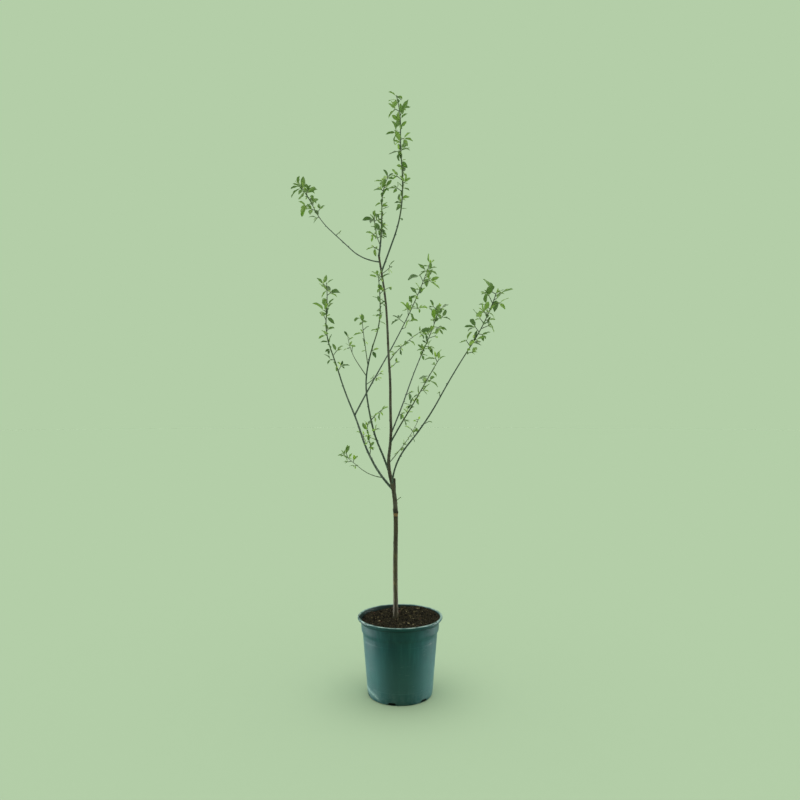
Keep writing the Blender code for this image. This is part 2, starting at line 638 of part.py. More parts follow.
def make_trunk(courses, material):
    """The whole trunk from its flat cut on the soil to the upper fork, with the cut stub beside it."""
    points, radii = limb_rings("trunk", courses, 0.0, 1.0, TRUNK_RING_SPACING)
    flare = [fraction <= FLARE_END for fraction, radius in TRUNK_GIRTH].count(True)
    points[:flare, :2] = points[0, :2]
    trunk = new_object("trunk", *tube(points, radii, TRUNK_SIDES), material)
    stub = new_object("stub", *tube(*stub_rings(courses, 0.0), BOUGH_SIDES))
    fuse(trunk, [stub], [])
    smooth(trunk, 50)


def make_bough(name, courses, material):
    """The bare part of one tapering bough, seated on the limb that bears it."""
    limb = LIMBS[name]
    points, radii = limb_rings(name, courses, 0.0, limb.bare, BOUGH_RING_SPACING)
    bough = new_object(name, *tube(points, radii, BOUGH_SIDES), material)
    fuse(bough, [], clearing(limb.parent, courses))
    smooth(bough, 50)


def spur_piece(spur):
    end = spur.root + spur.way * spur.reach
    points = np.array([spur.root, end])
    return new_object("spur", *tube(points, (SPUR_RADIUS, SPUR_TIP_RADIUS), SPUR_SIDES))


def leaf_piece(leaf):
    """Leaf as a keeled blade: a three-sided stalk, the widest place and the tip."""
    up = np.cross(leaf.side, leaf.way)
    root = leaf.root
    belly = leaf.root + leaf.way * leaf.length * LEAF_BELLY
    half = leaf.side * leaf.width / 2
    keel = up * leaf.width * LEAF_KEEL
    corners = [root + leaf.side * STALK_RADIUS + up * STALK_RADIUS / 2,
               root - leaf.side * STALK_RADIUS + up * STALK_RADIUS / 2,
               root - up * STALK_RADIUS,
               belly + half + keel / 2,
               belly - half + keel / 2,
               belly - keel / 2,
               root + leaf.way * leaf.length]
    faces = [(0, 1, 2), (0, 3, 4, 1), (1, 4, 5, 2), (2, 5, 3, 0), (3, 6, 4), (4, 6, 5), (5, 6, 3)]
    return new_object("leaf", corners, faces)


def make_mass(name, courses, bark, stems, material):
    """One mass of foliage: its stem, spurs and leaves in one body, clear of the limb that bears it."""
    mass = MASSES[name]
    limb = LIMBS[mass.limb]
    bearer = mass.limb if limb.bare else limb.parent
    begin = max(0.0, limb.bare - ROOTED / limb.length)
    points, radii = limb_rings(mass.limb, courses, begin, 1.0, STEM_RING_SPACING)
    base = new_object(name, *tube(points, radii, STEM_SIDES), material)
    spurs, leaves = grow(mass, courses, space_of(name, bark, stems))
    leaves.sort(key=lambda leaf: -math.dist(leaf.root + leaf.way * leaf.length, points[0]))
    kept = [leaf for number, leaf in enumerate(leaves)
            if math.ceil((number + 1) * LEAF_SHARE) > math.ceil(number * LEAF_SHARE)]
    pieces = [spur_piece(spur) for spur in spurs] + [leaf_piece(leaf) for leaf in kept]
    fuse(base, pieces, clearing(bearer, courses))


def main():
    for old in list(bpy.data.objects):
        bpy.data.objects.remove(old)
    courses = lay_out()
    bark, stems = split_up(courses)
    make_pot()
    make_soil()
    make_trunk(courses, new_material("trunk", BARK_COLOUR, 0.85))
    for name, limb in LIMBS.items():
        if limb.bare and limb.parent:
            make_bough(name, courses, new_material(name, YOUNG_BARK_COLOUR, 0.75))
    for name in MASSES:
        make_mass(name, courses, bark, stems, new_material(name, LEAF_COLOUR, 0.5))


main()
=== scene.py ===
"""The finished look of a young grafted plum tree in a nursery pot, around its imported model.

Metres, +Z up, +X to the right and +Y to the back. The tree grows by the rule of its solids: limbs on
their courses, then spurs and leaves that turn round each stem by the golden angle. Here the same
rule is carried on to stalks, buds, young leaves, bark relief, a moulded pot and loose compost.
"""

import json
import math
from collections import namedtuple
from random import Random

import bmesh
import bpy
import numpy as np
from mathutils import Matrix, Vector, noise

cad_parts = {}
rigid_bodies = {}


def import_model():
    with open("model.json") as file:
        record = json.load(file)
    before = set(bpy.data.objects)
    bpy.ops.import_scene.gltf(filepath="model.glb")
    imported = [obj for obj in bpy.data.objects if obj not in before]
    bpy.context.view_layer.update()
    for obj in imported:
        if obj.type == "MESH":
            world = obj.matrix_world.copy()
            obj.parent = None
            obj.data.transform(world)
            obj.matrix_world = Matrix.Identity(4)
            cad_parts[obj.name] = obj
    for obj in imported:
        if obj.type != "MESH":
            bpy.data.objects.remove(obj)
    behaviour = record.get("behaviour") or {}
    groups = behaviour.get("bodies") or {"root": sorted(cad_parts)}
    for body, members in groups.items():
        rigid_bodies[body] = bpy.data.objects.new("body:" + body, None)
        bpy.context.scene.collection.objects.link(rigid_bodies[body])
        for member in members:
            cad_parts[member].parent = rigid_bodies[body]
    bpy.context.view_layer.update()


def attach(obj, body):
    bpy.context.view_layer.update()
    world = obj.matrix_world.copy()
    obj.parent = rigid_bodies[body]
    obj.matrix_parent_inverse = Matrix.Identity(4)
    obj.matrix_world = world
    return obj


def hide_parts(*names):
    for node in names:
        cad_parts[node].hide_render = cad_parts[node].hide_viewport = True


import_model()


def tone(red, green, blue):
    """Colour of a surface from display values of 0 to 255."""
    return tuple(((value / 255 + 0.055) / 1.055) ** 2.4 for value in (red, green, blue))


# Camera: level, with the horizon a little below the middle of the picture
PICTURE = 800
CAMERA_PLACE = (-0.00025, -1.701, 0.7004)
FOCAL_PIXELS = 680
HORIZON_ROW = 412.5
SENSOR = 36.0

# The pot: radius and height of each edge, as its solid has them
POT_SEGMENTS = 176
POT_HEIGHT = 0.1926
POT_WALL = 0.0016
POT_FLOOR = 0.0026
FOOT_RADIUS = 0.0792
FOOT_BAND_HEIGHT = 0.0080
WALL_FOOT_RADIUS = 0.0812
WALL_TOP_HEIGHT = 0.1530
WALL_TOP_RADIUS = 0.0928
COLLAR_FOOT_HEIGHT = 0.1600
COLLAR_FOOT_RADIUS = 0.0962
LIP_FOOT_HEIGHT = 0.1810
COLLAR_TOP_RADIUS = 0.0974
LIP_EDGE_HEIGHT = 0.1883
LIP_RADIUS = 0.1056
MOUTH_RADIUS = 0.0998
EDGE_ROUND = 0.0010
NOTCHES = 6
NOTCH_TURN = -104.0
NOTCH_WIDTH = 0.021
NOTCH_HEIGHT = 0.0066
NOTCH_DEPTH = 0.013
OUT_OF_ROUND = 0.0005
SOFT_ROUND = 0.0040
LIP_ROUND = 0.0024
FILLET_STEPS = 6
FOOT_RIM = 0.0060
FOOT_RISE = 0.0008
WALL_LINES = ((0.1405, 0.00020), (0.0300, 0.00018))
POT_DARK = tone(7, 49, 54)
POT_TEAL = tone(17, 67, 69)
POT_STREAK = tone(40, 90, 90)
POT_HAZE = tone(50, 84, 85)
POT_DUST = tone(120, 138, 136)
# Pale tone of rubbed plastic, also laid on as a painted highlight on the lip and the lower left of the wall
POT_WEAR_AND_HIGHLIGHT = tone(136, 159, 156)
POT_SHADED = tone(4, 18, 18)
# Thin sill left at the bottom of each notch; it carries painted shade
NOTCH_SILL = 0.0010
# Where the pale scuff with its painted highlight runs down the lower left of the wall
SCUFF_HIGHLIGHT_START = (-0.0775, 0.0204)
SCUFF_HIGHLIGHT_END = (-0.0534, 0.0114)
SCUFF_HIGHLIGHT_WIDTH = 0.0075

# The compost: its surface and what lies loose on it
SOIL_LEVEL = 0.1858
SOIL_RISE = 0.034
SOIL_SHOULDER = 0.002
SOIL_WAVES = 5
SOIL_WAVE_HEIGHT = 0.0005
SOIL_WAVE_NUMBER = 90
SOIL_SEED = 5
SEAT_LEVEL = 0.1824
SEAT_RADIUS = 0.0125
SEAT_EDGE = 0.020
CRUMBS = 3600
CRUMB_SIZES = (0.0007, 0.0026)
LARGE_CRUMB_SHARE = 0.10
LARGE_CRUMB_GROWTH = 2.4
RIM_CRUMBS = 36
RIM_CRUMB_TURNS = (172, 205)
STRAWS = 42
STRAW_LENGTHS = (0.003, 0.013)
SOIL_ROUGHNESS = 0.0024
SOIL_LUMPS = 210
SOIL_HEAP = 0.0032
SOIL_HEAP_PLACE = (0.040, 0.075)
SOIL_HEAP_REACH = 0.040
SOIL_SURFACE_RINGS = 60
CHIP_PLACE = (-0.052, -0.012)
CHIP_LENGTH = 0.011
CHIP_TURN = 1.1
SOIL_DARK = tone(11, 10, 7)
SOIL_BROWN = tone(27, 24, 16)
SOIL_WARM = tone(47, 41, 28)
SOIL_PALE = tone(84, 75, 55)
CRUMB_TONES = {"dark": (0.56, tone(18, 16, 11)), "brown": (0.30, tone(48, 43, 29)),
               "pale": (0.14, tone(92, 83, 62))}
CHIP_TONES = (tone(154, 143, 110), tone(64, 56, 42), tone(72, 44, 38))

# The trunk: its foot, and its radius at fractions of its length
GAP = 0.0003
TRUNK_FOOT = (-0.01145, 0.012, SEAT_LEVEL + GAP)
TRUNK_GIRTH = ((0.0, 0.0072), (0.008, 0.0067), (0.025, 0.0062), (0.06, 0.0058), (0.280, 0.0055),
               (0.296, 0.0063), (0.312, 0.0055), (0.355, 0.0052), (0.400, 0.0046), (0.460, 0.0037),
               (0.700, 0.0029), (1.0, 0.0024))
FLARE_LOBES = 5
FLARE_HEIGHT = 0.012
GRAFT_AT = 0.296
GRAFT_SLANT = 0.0035
GRAFT_RIDGE = 0.0007
GRAFT_HEIGHT = 0.4544

# The cut stub beside the fork
STUB_AT = 0.338
STUB_LEAN = 0.0
STUB_BACK = 3.0
STUB_LENGTH = 0.044
STUB_FOOT_RADIUS = 0.0042
STUB_TIP_RADIUS = 0.0031
STUB_CUT_HEIGHT = 0.0006

# Bark relief, and the scars and buds at the nodes of bare wood
TRUNK_SIDES = 28
BOUGH_SIDES = 18
STEM_SIDES = 10
SPUR_SIDES = 7
RING_SPACING = 0.0016
COLLAR_SWELL = 0.2
COLLAR_LENGTH = 0.007
BARK_RELIEF = 0.00022
NODE_SPACING = 0.024
NODE_SWELL = 0.00045
NODE_HEIGHT = 0.0020
BUD_LENGTH = 0.0030
BUD_RADIUS = 0.0010
NODE_UNEVENNESS = 0.004
SPUR_RINGS = 7
SPUR_SCARS = 0.14
TRUNK_TONES = (tone(35, 32, 26), tone(60, 55, 45), tone(90, 83, 68))
TRUNK_PORE = tone(132, 116, 90)
STOCK_DARK = tone(46, 39, 28)
STOCK_OLIVE = tone(74, 66, 42)
STOCK_TAN = tone(128, 102, 64)
BOUGH_TONES = (tone(37, 49, 45), tone(61, 75, 67), tone(102, 114, 106))
BOUGH_PORE = tone(146, 150, 134)
TWIG_TONES = (tone(44, 56, 42), tone(68, 82, 58), tone(100, 110, 84))
BARK_BLOOM = tone(118, 122, 116)
CUT_TONE = tone(150, 126, 88)
SCAR_TONE = tone(30, 27, 18)
CALLUS_TONE = tone(150, 112, 76)

# Spurs along the stem of a mass: they turn round it by NODE_TURN degrees, give or take a scatter
STEPS = 60
NODE_TURN = 137.5
NODE_TURN_SCATTER = 25
NODE_SCATTER = (0.1, 0.9)
CROWDING = 0.85
SPUR_SIZES = (-0.4, 1.6)
SPUR_RISE = (0.2, 0.9)
SPUR_RADIUS = 0.0010
SPUR_TIP_RADIUS = 0.0008
SHORTEST_SPUR = 0.003
SESSILE_LEAVES = (1, 2)

# Leaves: angles in degrees, sizes as shares of the mass's leaf length, widths as shares of the length
TIP_OPENING = (20, 75)
SIDE_OPENING = (15, 80)
LEAF_TURN_SCATTER = 30
LEAF_RISE = (-0.6, 0.3)
LEAF_SIZES = (0.55, 1.12)
TIP_GROWTH = 0.5
TIP_LEAVES = 0.95
LEAF_WIDTHS = (0.33, 0.45)
LEAF_SPREAD = 0.32
LEAF_TILT = 0.45
ROOT_DEPTH = 0.0015
LEAF_BELLY = 0.6
LEAF_CLEARANCE = 0.002
STEM_CLEARANCE = 0.0015

# Young leaves that open among the full-grown ones
YOUNG_LEAVES = (0, 2)
YOUNG_SIZES = (0.35, 0.70)
YOUNG_OPENING = (5, 50)
YOUNG_SEED_STEP = 1000

# The blade of a leaf: rows along it, columns on each side of the midrib, and its form
BLADE_ROWS = 20
BLADE_COLUMNS = 3
STALK_SHARE = 0.15
STALK_RADII = (0.00050, 0.00038)
BLADE_FULLNESS = 1.06
BLADE_BASE_POWER = 0.85
BLADE_TIP_POWERS = (0.85, 1.15)
BLADE_BENDS = (0, 48)
BLADE_FOLDS = (6, 36)
BLADE_TWIST = 22
BLADE_WAVES = (1.5, 2.6)
BLADE_WAVE_HEIGHT = 0.05
BLADE_THICKNESS = 0.00022
MIDRIB_THICKNESS = 0.00060
TOOTH_DEPTH = 0.055
SIDE_VEINS = 5
VEIN_BULGE = 0.00022
VEIN_SLANT = 0.55

# Tints of leaves: share of the full-grown sprays, and the colours of their upper and under sides
Tint = namedtuple("Tint", "share upper under")
LEAF_TINTS = {"mid": Tint(0.42, tone(88, 126, 34), tone(120, 150, 76)),
              "bright": Tint(0.34, tone(114, 154, 36), tone(144, 174, 84)),
              "dark": Tint(0.24, tone(62, 98, 34), tone(100, 130, 70)),
              "young": Tint(0, tone(146, 182, 50), tone(160, 188, 92))}
STALK_TONE = tone(120, 136, 62)

# The stage: a pale floor that meets a sky of the same tone, brighter overhead, and soft lamps
# (name, place, aim, width, height, spread in degrees, power)
STAGE_RADIUS = 30.0
STAGE_DROP = 0.0004
SKY_LOW = tone(180, 206, 168)
SKY_HIGH = (3.3, 3.2, 3.1)
SKY_BREAK = 0.6
LAMPS = (("lamp_left", (-2.3, -0.2, 0.9), (0, 0, 0.6), 1.4, 2.2, 180, 14),
         ("lamp_right", (2.3, 0.1, 0.9), (0, 0, 0.6), 1.4, 2.2, 180, 12),
         ("lamp_low_left", (-0.78, 0.18, 0.10), (0, 0, 0.07), 0.4, 0.3, 40, 1.2),
         ("lamp_low_right", (0.78, 0.18, 0.10), (0, 0, 0.07), 0.4, 0.3, 40, 0.9))

Limb = namedtuple("Limb", "parent at length lean back foot_radius tip_radius bare")
Mass = namedtuple("Mass", "limb first nodes leaves leaf_length spur seed")
Spur = namedtuple("Spur", "root way reach")
Leaf = namedtuple("Leaf", "root way side length width")
Spray = namedtuple("Spray", "spur leaves terminal")
Space = namedtuple("Space", "bark radii own others")

# Each limb: the limb that bears it and where along that one, its length, its lean to the right and
# to the back in degrees at even stations, its radius at foot and tip, and its bare share.
LIMBS = {
    "trunk": Limb(None, 0, 0.914, (1.2, -1.2, 0.5, 1.1, -2.7, -15, 8, -2, 0, -4, -2, -4, -9, -9),
                  (-1, -1, -2, -3, 0, 1, 1, 0, 0, 0), 0.0055, 0.0024, 1.0),
    "bough_low_left": Limb("trunk", 0.355, 0.580, (-45, -30, -19, -24, -17, -18, 8, -3),
                           (6, 20, 24, 4, -22, -24, -12), 0.0031, 0.0009, 0.58),
    "bough_low_inner": Limb("bough_low_left", 0.386, 0.470, (27, 29, 25, 19),
                            (8, 16, 16, 6), 0.0021, 0.0009, 0.56),
    "bough_second_left": Limb("trunk", 0.392, 0.505, (-17, -23, -12, -7, 11, 20, 0, -6),
                              (0, -24, -16, -12, -4), 0.0027, 0.0010, 0.62),
    "bough_long_right": Limb("trunk", 0.370, 0.546, (1, 39, 28, 33, 18),
                             (-44, -16, -12, -4), 0.0023, 0.0009, 0.70),
    "bough_middle_right": Limb("trunk", 0.510, 0.407, (23, 19, 24, 18),
                               (22, 34, 28, 12), 0.0019, 0.0009, 0.60),
    "bough_short_right": Limb("trunk", 0.485, 0.291, (28, 31, 29, 30),
                              (-30, -52, -48, -30), 0.0021, 0.0008, 0.22),
    "bough_upper_left": Limb("trunk", 0.983, 0.338, (-84, -44, -45, -26, -38),
                             (26, 30, 22, 8), 0.0016, 0.0008, 0.64),
    "bough_leader": Limb("trunk", 0.955, 0.443, (22, 21, 5, -5, 1, -14),
                         (-20, -6, 2, 6), 0.0022, 0.0010, 0.30),
    "bough_centre": Limb("trunk", 1.0, 0.205, (8, 2, 0, 26), (12, 4, -6), 0.0024, 0.0008, 0.20),
    "twig_centre_left": Limb("bough_centre", 0.14, 0.100, (-21, -12, -1), (40, 34, 12),
                             0.0011, 0.0007, 0.0),
    "twig_foot_left": Limb("bough_low_left", 0.070, 0.124, (-84, -55, -50), (30, 44, 30),
                           0.0011, 0.0006, 0.0),
    "twig_low_upright": Limb("bough_low_left", 0.184, 0.094, (14, -10, -3), (-40, -36, -15),
                             0.0011, 0.0006, 0.0),
    "twig_inner_left": Limb("bough_second_left", 0.307, 0.045, (38, 55), (-40, -50, -35),
                            0.0011, 0.0007, 0.0),
    "twig_outer_left": Limb("bough_second_left", 0.531, 0.154, (-35, -34, -22, -11),
                            (36, 50, 36), 0.0012, 0.0006, 0.0),
    "twig_upright_left": Limb("bough_second_left", 0.581, 0.136, (-7, -6, -4),
                              (-26, -40, -24), 0.0011, 0.0006, 0.0),
    "twig_cross": Limb("bough_second_left", 0.490, 0.050, (57, 45, 50), (34, 46, 30),
                       0.0010, 0.0006, 0.0),
    "twig_fine_right": Limb("trunk", 0.429, 0.171, (42, 38, 24), (40, 52, 36),
                            0.0012, 0.0006, 0.0),
    "twig_behind": Limb("trunk", 0.708, 0.161, (30, 43, 54), (48, 56, 42), 0.0013, 0.0006, 0.0),
    "spur_trunk_right": Limb("trunk", 0.690, 0.022, (60, 40), (-30, -10), 0.0010, 0.0007, 0.0),
    "spur_trunk_high_right": Limb("trunk", 0.905, 0.014, (60,), (25,), 0.0010, 0.0007, 0.0),
    "spur_trunk_top_right": Limb("trunk", 0.950, 0.030, (54, 40), (35, 20), 0.0010, 0.0007, 0.0),
    "spur_trunk_low_right": Limb("trunk", 0.322, 0.017, (50,), (-20,), 0.0009, 0.0007, 0.0),
    "spur_trunk_left": Limb("trunk", 0.870, 0.014, (-55,), (-30,), 0.0010, 0.0007, 0.0),
    "spur_trunk_high_left": Limb("trunk", 0.900, 0.014, (-50,), (40,), 0.0010, 0.0007, 0.0),
    "spur_trunk_top_left": Limb("trunk", 0.938, 0.016, (-50,), (-25,), 0.0010, 0.0007, 0.0),
    "spur_centre": Limb("bough_centre", 0.07, 0.017, (-60,), (-20,), 0.0010, 0.0007, 0.0),
    "spur_upper_left": Limb("bough_upper_left", 0.440, 0.015, (52,), (-25,), 0.0009, 0.0007, 0.0),
    "spur_low_left": Limb("bough_low_left", 0.270, 0.014, (10,), (50,), 0.0010, 0.0007, 0.0),
    "spur_second_left": Limb("bough_second_left", 0.240, 0.012, (20,), (-40,), 0.0010, 0.0007, 0.0),
    "spur_long_right_low": Limb("bough_long_right", 0.290, 0.014, (-10,), (35,), 0.0010, 0.0007, 0.0),
    "spur_long_right": Limb("bough_long_right", 0.360, 0.014, (62,), (-20,), 0.0010, 0.0007, 0.0),
    "spur_long_right_high": Limb("bough_long_right", 0.500, 0.014, (-8,), (-40,), 0.0010, 0.0007, 0.0),
    "spur_middle_right_low": Limb("bough_middle_right", 0.130, 0.012, (60,), (10,), 0.0010, 0.0007, 0.0),
    "spur_middle_right": Limb("bough_middle_right", 0.290, 0.012, (60,), (-10,), 0.0010, 0.0007, 0.0),
}

MASSES = {
    "foliage_low_left": Mass("bough_low_left", 0.58, 19, (2, 5), 0.030, 0.013, 57),
    "foliage_low_inner": Mass("bough_low_inner", 0.56, 20, (2, 5), 0.035, 0.017, 114),
    "foliage_second_left": Mass("bough_second_left", 0.62, 14, (2, 4), 0.025, 0.008, 154),
    "foliage_long_right": Mass("bough_long_right", 0.70, 21, (2, 5), 0.030, 0.017, 527),
    "foliage_middle_right": Mass("bough_middle_right", 0.60, 20, (2, 5), 0.031, 0.014, 239),
    "foliage_short_right": Mass("bough_short_right", 0.22, 16, (2, 4), 0.025, 0.010, 408),
    "foliage_upper_left": Mass("bough_upper_left", 0.64, 14, (2, 5), 0.032, 0.014, 791),
    "foliage_leader": Mass("bough_leader", 0.30, 28, (2, 5), 0.030, 0.011, 1492),
    "foliage_centre": Mass("bough_centre", 0.2, 17, (2, 4), 0.025, 0.009, 273),
    "foliage_centre_left": Mass("twig_centre_left", 0.25, 8, (2, 4), 0.026, 0.009, 206),
    "foliage_foot_left": Mass("twig_foot_left", 0.6, 6, (2, 3), 0.024, 0.008, 1171),
    "foliage_low_upright": Mass("twig_low_upright", 0.05, 6, (2, 3), 0.022, 0.006, 543),
    "foliage_inner_left": Mass("twig_inner_left", 0.1, 4, (2, 3), 0.025, 0.009, 360),
    "foliage_outer_left": Mass("twig_outer_left", 0.6, 6, (1, 3), 0.025, 0.009, 321),
    "foliage_upright_left": Mass("twig_upright_left", 0.15, 7, (1, 3), 0.023, 0.008, 885),
    "foliage_cross": Mass("twig_cross", 0.3, 3, (1, 2), 0.019, 0.006, 5),
    "foliage_fine_right": Mass("twig_fine_right", 0.12, 8, (1, 2), 0.021, 0.006, 264),
    "foliage_behind": Mass("twig_behind", 0.08, 9, (1, 3), 0.026, 0.009, 187),
    "foliage_trunk_right": Mass("spur_trunk_right", 0.5, 2, (2, 3), 0.023, 0.006, 117),
    "foliage_trunk_high_right": Mass("spur_trunk_high_right", 0.5, 1, (1, 2), 0.023, 0.005, 163),
    "foliage_trunk_top_right": Mass("spur_trunk_top_right", 0.6, 2, (2, 4), 0.024, 0.005, 8),
    "foliage_trunk_low_right": Mass("spur_trunk_low_right", 0.6, 1, (1, 1), 0.011, 0.002, 95),
    "foliage_trunk_left": Mass("spur_trunk_left", 0.5, 1, (1, 2), 0.022, 0.005, 398),
    "foliage_trunk_high_left": Mass("spur_trunk_high_left", 0.5, 1, (2, 2), 0.022, 0.005, 203),
    "foliage_trunk_top_left": Mass("spur_trunk_top_left", 0.5, 1, (2, 3), 0.024, 0.005, 243),
    "foliage_spur_centre": Mass("spur_centre", 0.5, 2, (2, 3), 0.022, 0.005, 131),
    "foliage_spur_upper_left": Mass("spur_upper_left", 0.6, 1, (1, 2), 0.012, 0.002, 46),
    "foliage_spur_low_left": Mass("spur_low_left", 0.5, 1, (2, 3), 0.025, 0.005, 240),
    "foliage_spur_second_left": Mass("spur_second_left", 0.5, 1, (2, 2), 0.023, 0.005, 266),
    "foliage_spur_long_right_low": Mass("spur_long_right_low", 0.5, 1, (1, 2), 0.015, 0.005, 208),
    "foliage_spur_long_right": Mass("spur_long_right", 0.5, 1, (2, 2), 0.017, 0.005, 390),
    "foliage_spur_long_right_high": Mass("spur_long_right_high", 0.5, 1, (1, 2), 0.015, 0.005, 32),
    "foliage_spur_middle_right_low": Mass("spur_middle_right_low", 0.5, 1, (1, 2), 0.017, 0.005, 212),
    "foliage_spur_middle_right": Mass("spur_middle_right", 0.5, 1, (1, 2), 0.02, 0.005, 212),
}


def unit(vector):
    return vector / np.linalg.norm(vector)


def course(start, limb):
    """Points of a limb, from its lean to the right and to the back in degrees at even stations."""
    middle = (np.arange(STEPS) + 0.5) / STEPS
    right = np.interp(middle, np.linspace(0, 1, len(limb.lean)), limb.lean)
    back = np.interp(middle, np.linspace(0, 1, len(limb.back)), limb.back)
    way = np.stack([np.tan(np.radians(right)), np.tan(np.radians(back)), np.ones(STEPS)], 1)
    way *= limb.length / STEPS / np.linalg.norm(way, axis=1)[:, None]
    return np.vstack([start, start + np.cumsum(way, 0)])


def place(points, fraction):
    """Point and direction of growth at a fraction of a limb's length."""
    step = min(int(fraction * STEPS), STEPS - 1)
    along = points[step + 1] - points[step]
    return points[step] + (fraction * STEPS - step) * along, unit(along)


def smooth_places(points, fractions):
    """Points at fractions of a limb's length, on a smooth curve through its course."""
    ends = np.vstack([2 * points[0] - points[1], points, 2 * points[-1] - points[-2]])
    station = np.clip(np.asarray(fractions), 0, 1) * STEPS
    step = np.minimum(station.astype(int), STEPS - 1)
    t = (station - step)[:, None]
    before, here, there, beyond = (ends[step + shift] for shift in range(4))
    curve = 2 * here + (there - before) * t + (2 * before - 5 * here + 4 * there - beyond) * t ** 2
    return (curve + (3 * here - before - 3 * there + beyond) * t ** 3) / 2


def radius_at(limb, fraction):
    return limb.foot_radius + (limb.tip_radius - limb.foot_radius) * fraction


def lay_out():
    """Courses of all the limbs, each from its place on the limb that bears it."""
    courses = {}
    for name, limb in LIMBS.items():
        start = np.array(TRUNK_FOOT) if limb.parent is None else place(courses[limb.parent], limb.at)[0]
        courses[name] = course(start, limb)
    return courses


def across(along):
    """Two directions square to a shoot and to each other."""
    first = unit(np.cross(along, (0.0, 1.0, 0.0)))
    return first, np.cross(first, along)


def turned(along, degrees):
    """Direction square to a shoot, turned round it."""
    first, second = across(along)
    return math.cos(math.radians(degrees)) * first + math.sin(math.radians(degrees)) * second


def new_leaf(random, mass, spur, turn, opening, size):
    """Leaf on its stalk, that opens from the tip of its spur and hangs a little."""
    droop = np.array((0.0, 0.0, random.uniform(*LEAF_RISE)))
    way = unit(spur.way * math.cos(opening) + turned(spur.way, turn) * math.sin(opening) + droop)
    length = mass.leaf_length * random.uniform(*LEAF_SIZES) * size
    width = length * random.uniform(*LEAF_WIDTHS)
    tilt = np.array([random.gauss(0, LEAF_TILT), random.gauss(0, LEAF_TILT), 1.0])
    side = unit(np.cross(way, tilt))
    root = spur.root + spur.way * max(0.0, spur.reach - ROOT_DEPTH)
    return Leaf(root, way, side, length, width)


def leaf_points(leaf):
    """Places on a leaf, clear of its root, that have to stay in the mass's own space."""
    line = leaf.root + leaf.way * leaf.length * np.array([[0.25], [0.5], [0.75], [1.0]])
    middle = leaf.root + leaf.way * leaf.length * LEAF_BELLY
    half = leaf.side * leaf.width * 0.5
    return np.vstack([line, middle + half, middle - half])


def gaps(places, points):
    return np.linalg.norm(places[:, None, :] - points[None, :, :], axis=2)


def fits(leaf, space):
    """True where a leaf stays clear of all bark and nearer its own stem than any other mass's."""
    places = leaf_points(leaf)
    if (gaps(places, space.bark) - space.radii).min() < LEAF_CLEARANCE:
        return False
    near = gaps(places, space.own).min(axis=1)
    return (gaps(places, space.others).min(axis=1) > near + STEM_CLEARANCE).all()


def spots(leaf):
    """The middle and the tip of a leaf."""
    return leaf.root + leaf.way * leaf.length * np.array([[0.5], [1.0]])


def apart(leaf, others):
    """True where a leaf's middle and tip keep their distance from those of the leaves before it."""
    if not others:
        return True
    return gaps(spots(leaf), np.vstack([spots(other) for other in others])).min() > leaf.length * LEAF_SPREAD


def grow(mass, courses, space):
    """Sprays of one mass, each a spur with its leaves: they turn round the stem by the golden angle."""
    points = courses[mass.limb]
    random = Random(mass.seed)
    turn = random.uniform(0, 360)
    sprays = []
    leaves = []
    for node in range(mass.nodes + 1):
        terminal = node == mass.nodes
        share = min(1.0, (node + random.uniform(*NODE_SCATTER)) / mass.nodes)
        root, along = place(points, 1.0 if terminal else mass.first + (1 - mass.first) * share ** CROWDING)
        turn += NODE_TURN + random.uniform(-NODE_TURN_SCATTER, NODE_TURN_SCATTER)
        way = along if terminal else unit(along * random.uniform(*SPUR_RISE) + turned(along, turn))
        reach = mass.spur * random.uniform(*SPUR_SIZES)
        if terminal or reach < SHORTEST_SPUR:
            reach = 0.0
        count = random.randint(*(mass.leaves if terminal or reach > 0 else SESSILE_LEAVES))
        spur = Spur(root, way, reach)
        kept = []
        for number in range(count):
            opening = math.radians(random.uniform(*(TIP_OPENING if terminal else SIDE_OPENING)))
            round_spur = turn + number * 360 / count + random.uniform(-LEAF_TURN_SCATTER, LEAF_TURN_SCATTER)
            size = TIP_LEAVES if terminal else 1 + TIP_GROWTH * (share - 0.5)
            leaf = new_leaf(random, mass, spur, round_spur, opening, size)
            if fits(leaf, space) and apart(leaf, leaves + kept):
                kept.append(leaf)
        if kept:
            sprays.append(Spray(spur, kept, terminal))
        leaves.extend(kept)
    return sprays


def split_up(courses):
    """Bare course of each limb and stem course of each mass."""
    bark = {}
    for name, limb in LIMBS.items():
        end = int(round(limb.bare * STEPS))
        if end > 0:
            bark[name] = courses[name][:end + 1]
    stems = {}
    for name, mass in MASSES.items():
        begin = int(round(LIMBS[mass.limb].bare * STEPS))
        stems[name] = courses[mass.limb][begin:]
    return bark, stems


def space_of(name, bark, stems):
    """The space of one mass: all bark with its radius, its own stem and the other masses' stems."""
    points = np.vstack(list(bark.values()))
    radii = np.concatenate([np.full(len(part), LIMBS[limb].foot_radius) for limb, part in bark.items()])
    others = np.vstack([part for other, part in stems.items() if other != name])
    return Space(points, radii, stems[name], others)


def girth(name, fraction):
    """Radius of a limb at a fraction of its length, with the swelling where a bough leaves the trunk."""
    if name == "trunk":
        return float(np.interp(fraction, *zip(*TRUNK_GIRTH)))
    limb = LIMBS[name]
    radius = radius_at(limb, fraction)
    if limb.bare:
        radius *= 1 + COLLAR_SWELL * math.exp(-fraction * limb.length / COLLAR_LENGTH)
    return radius


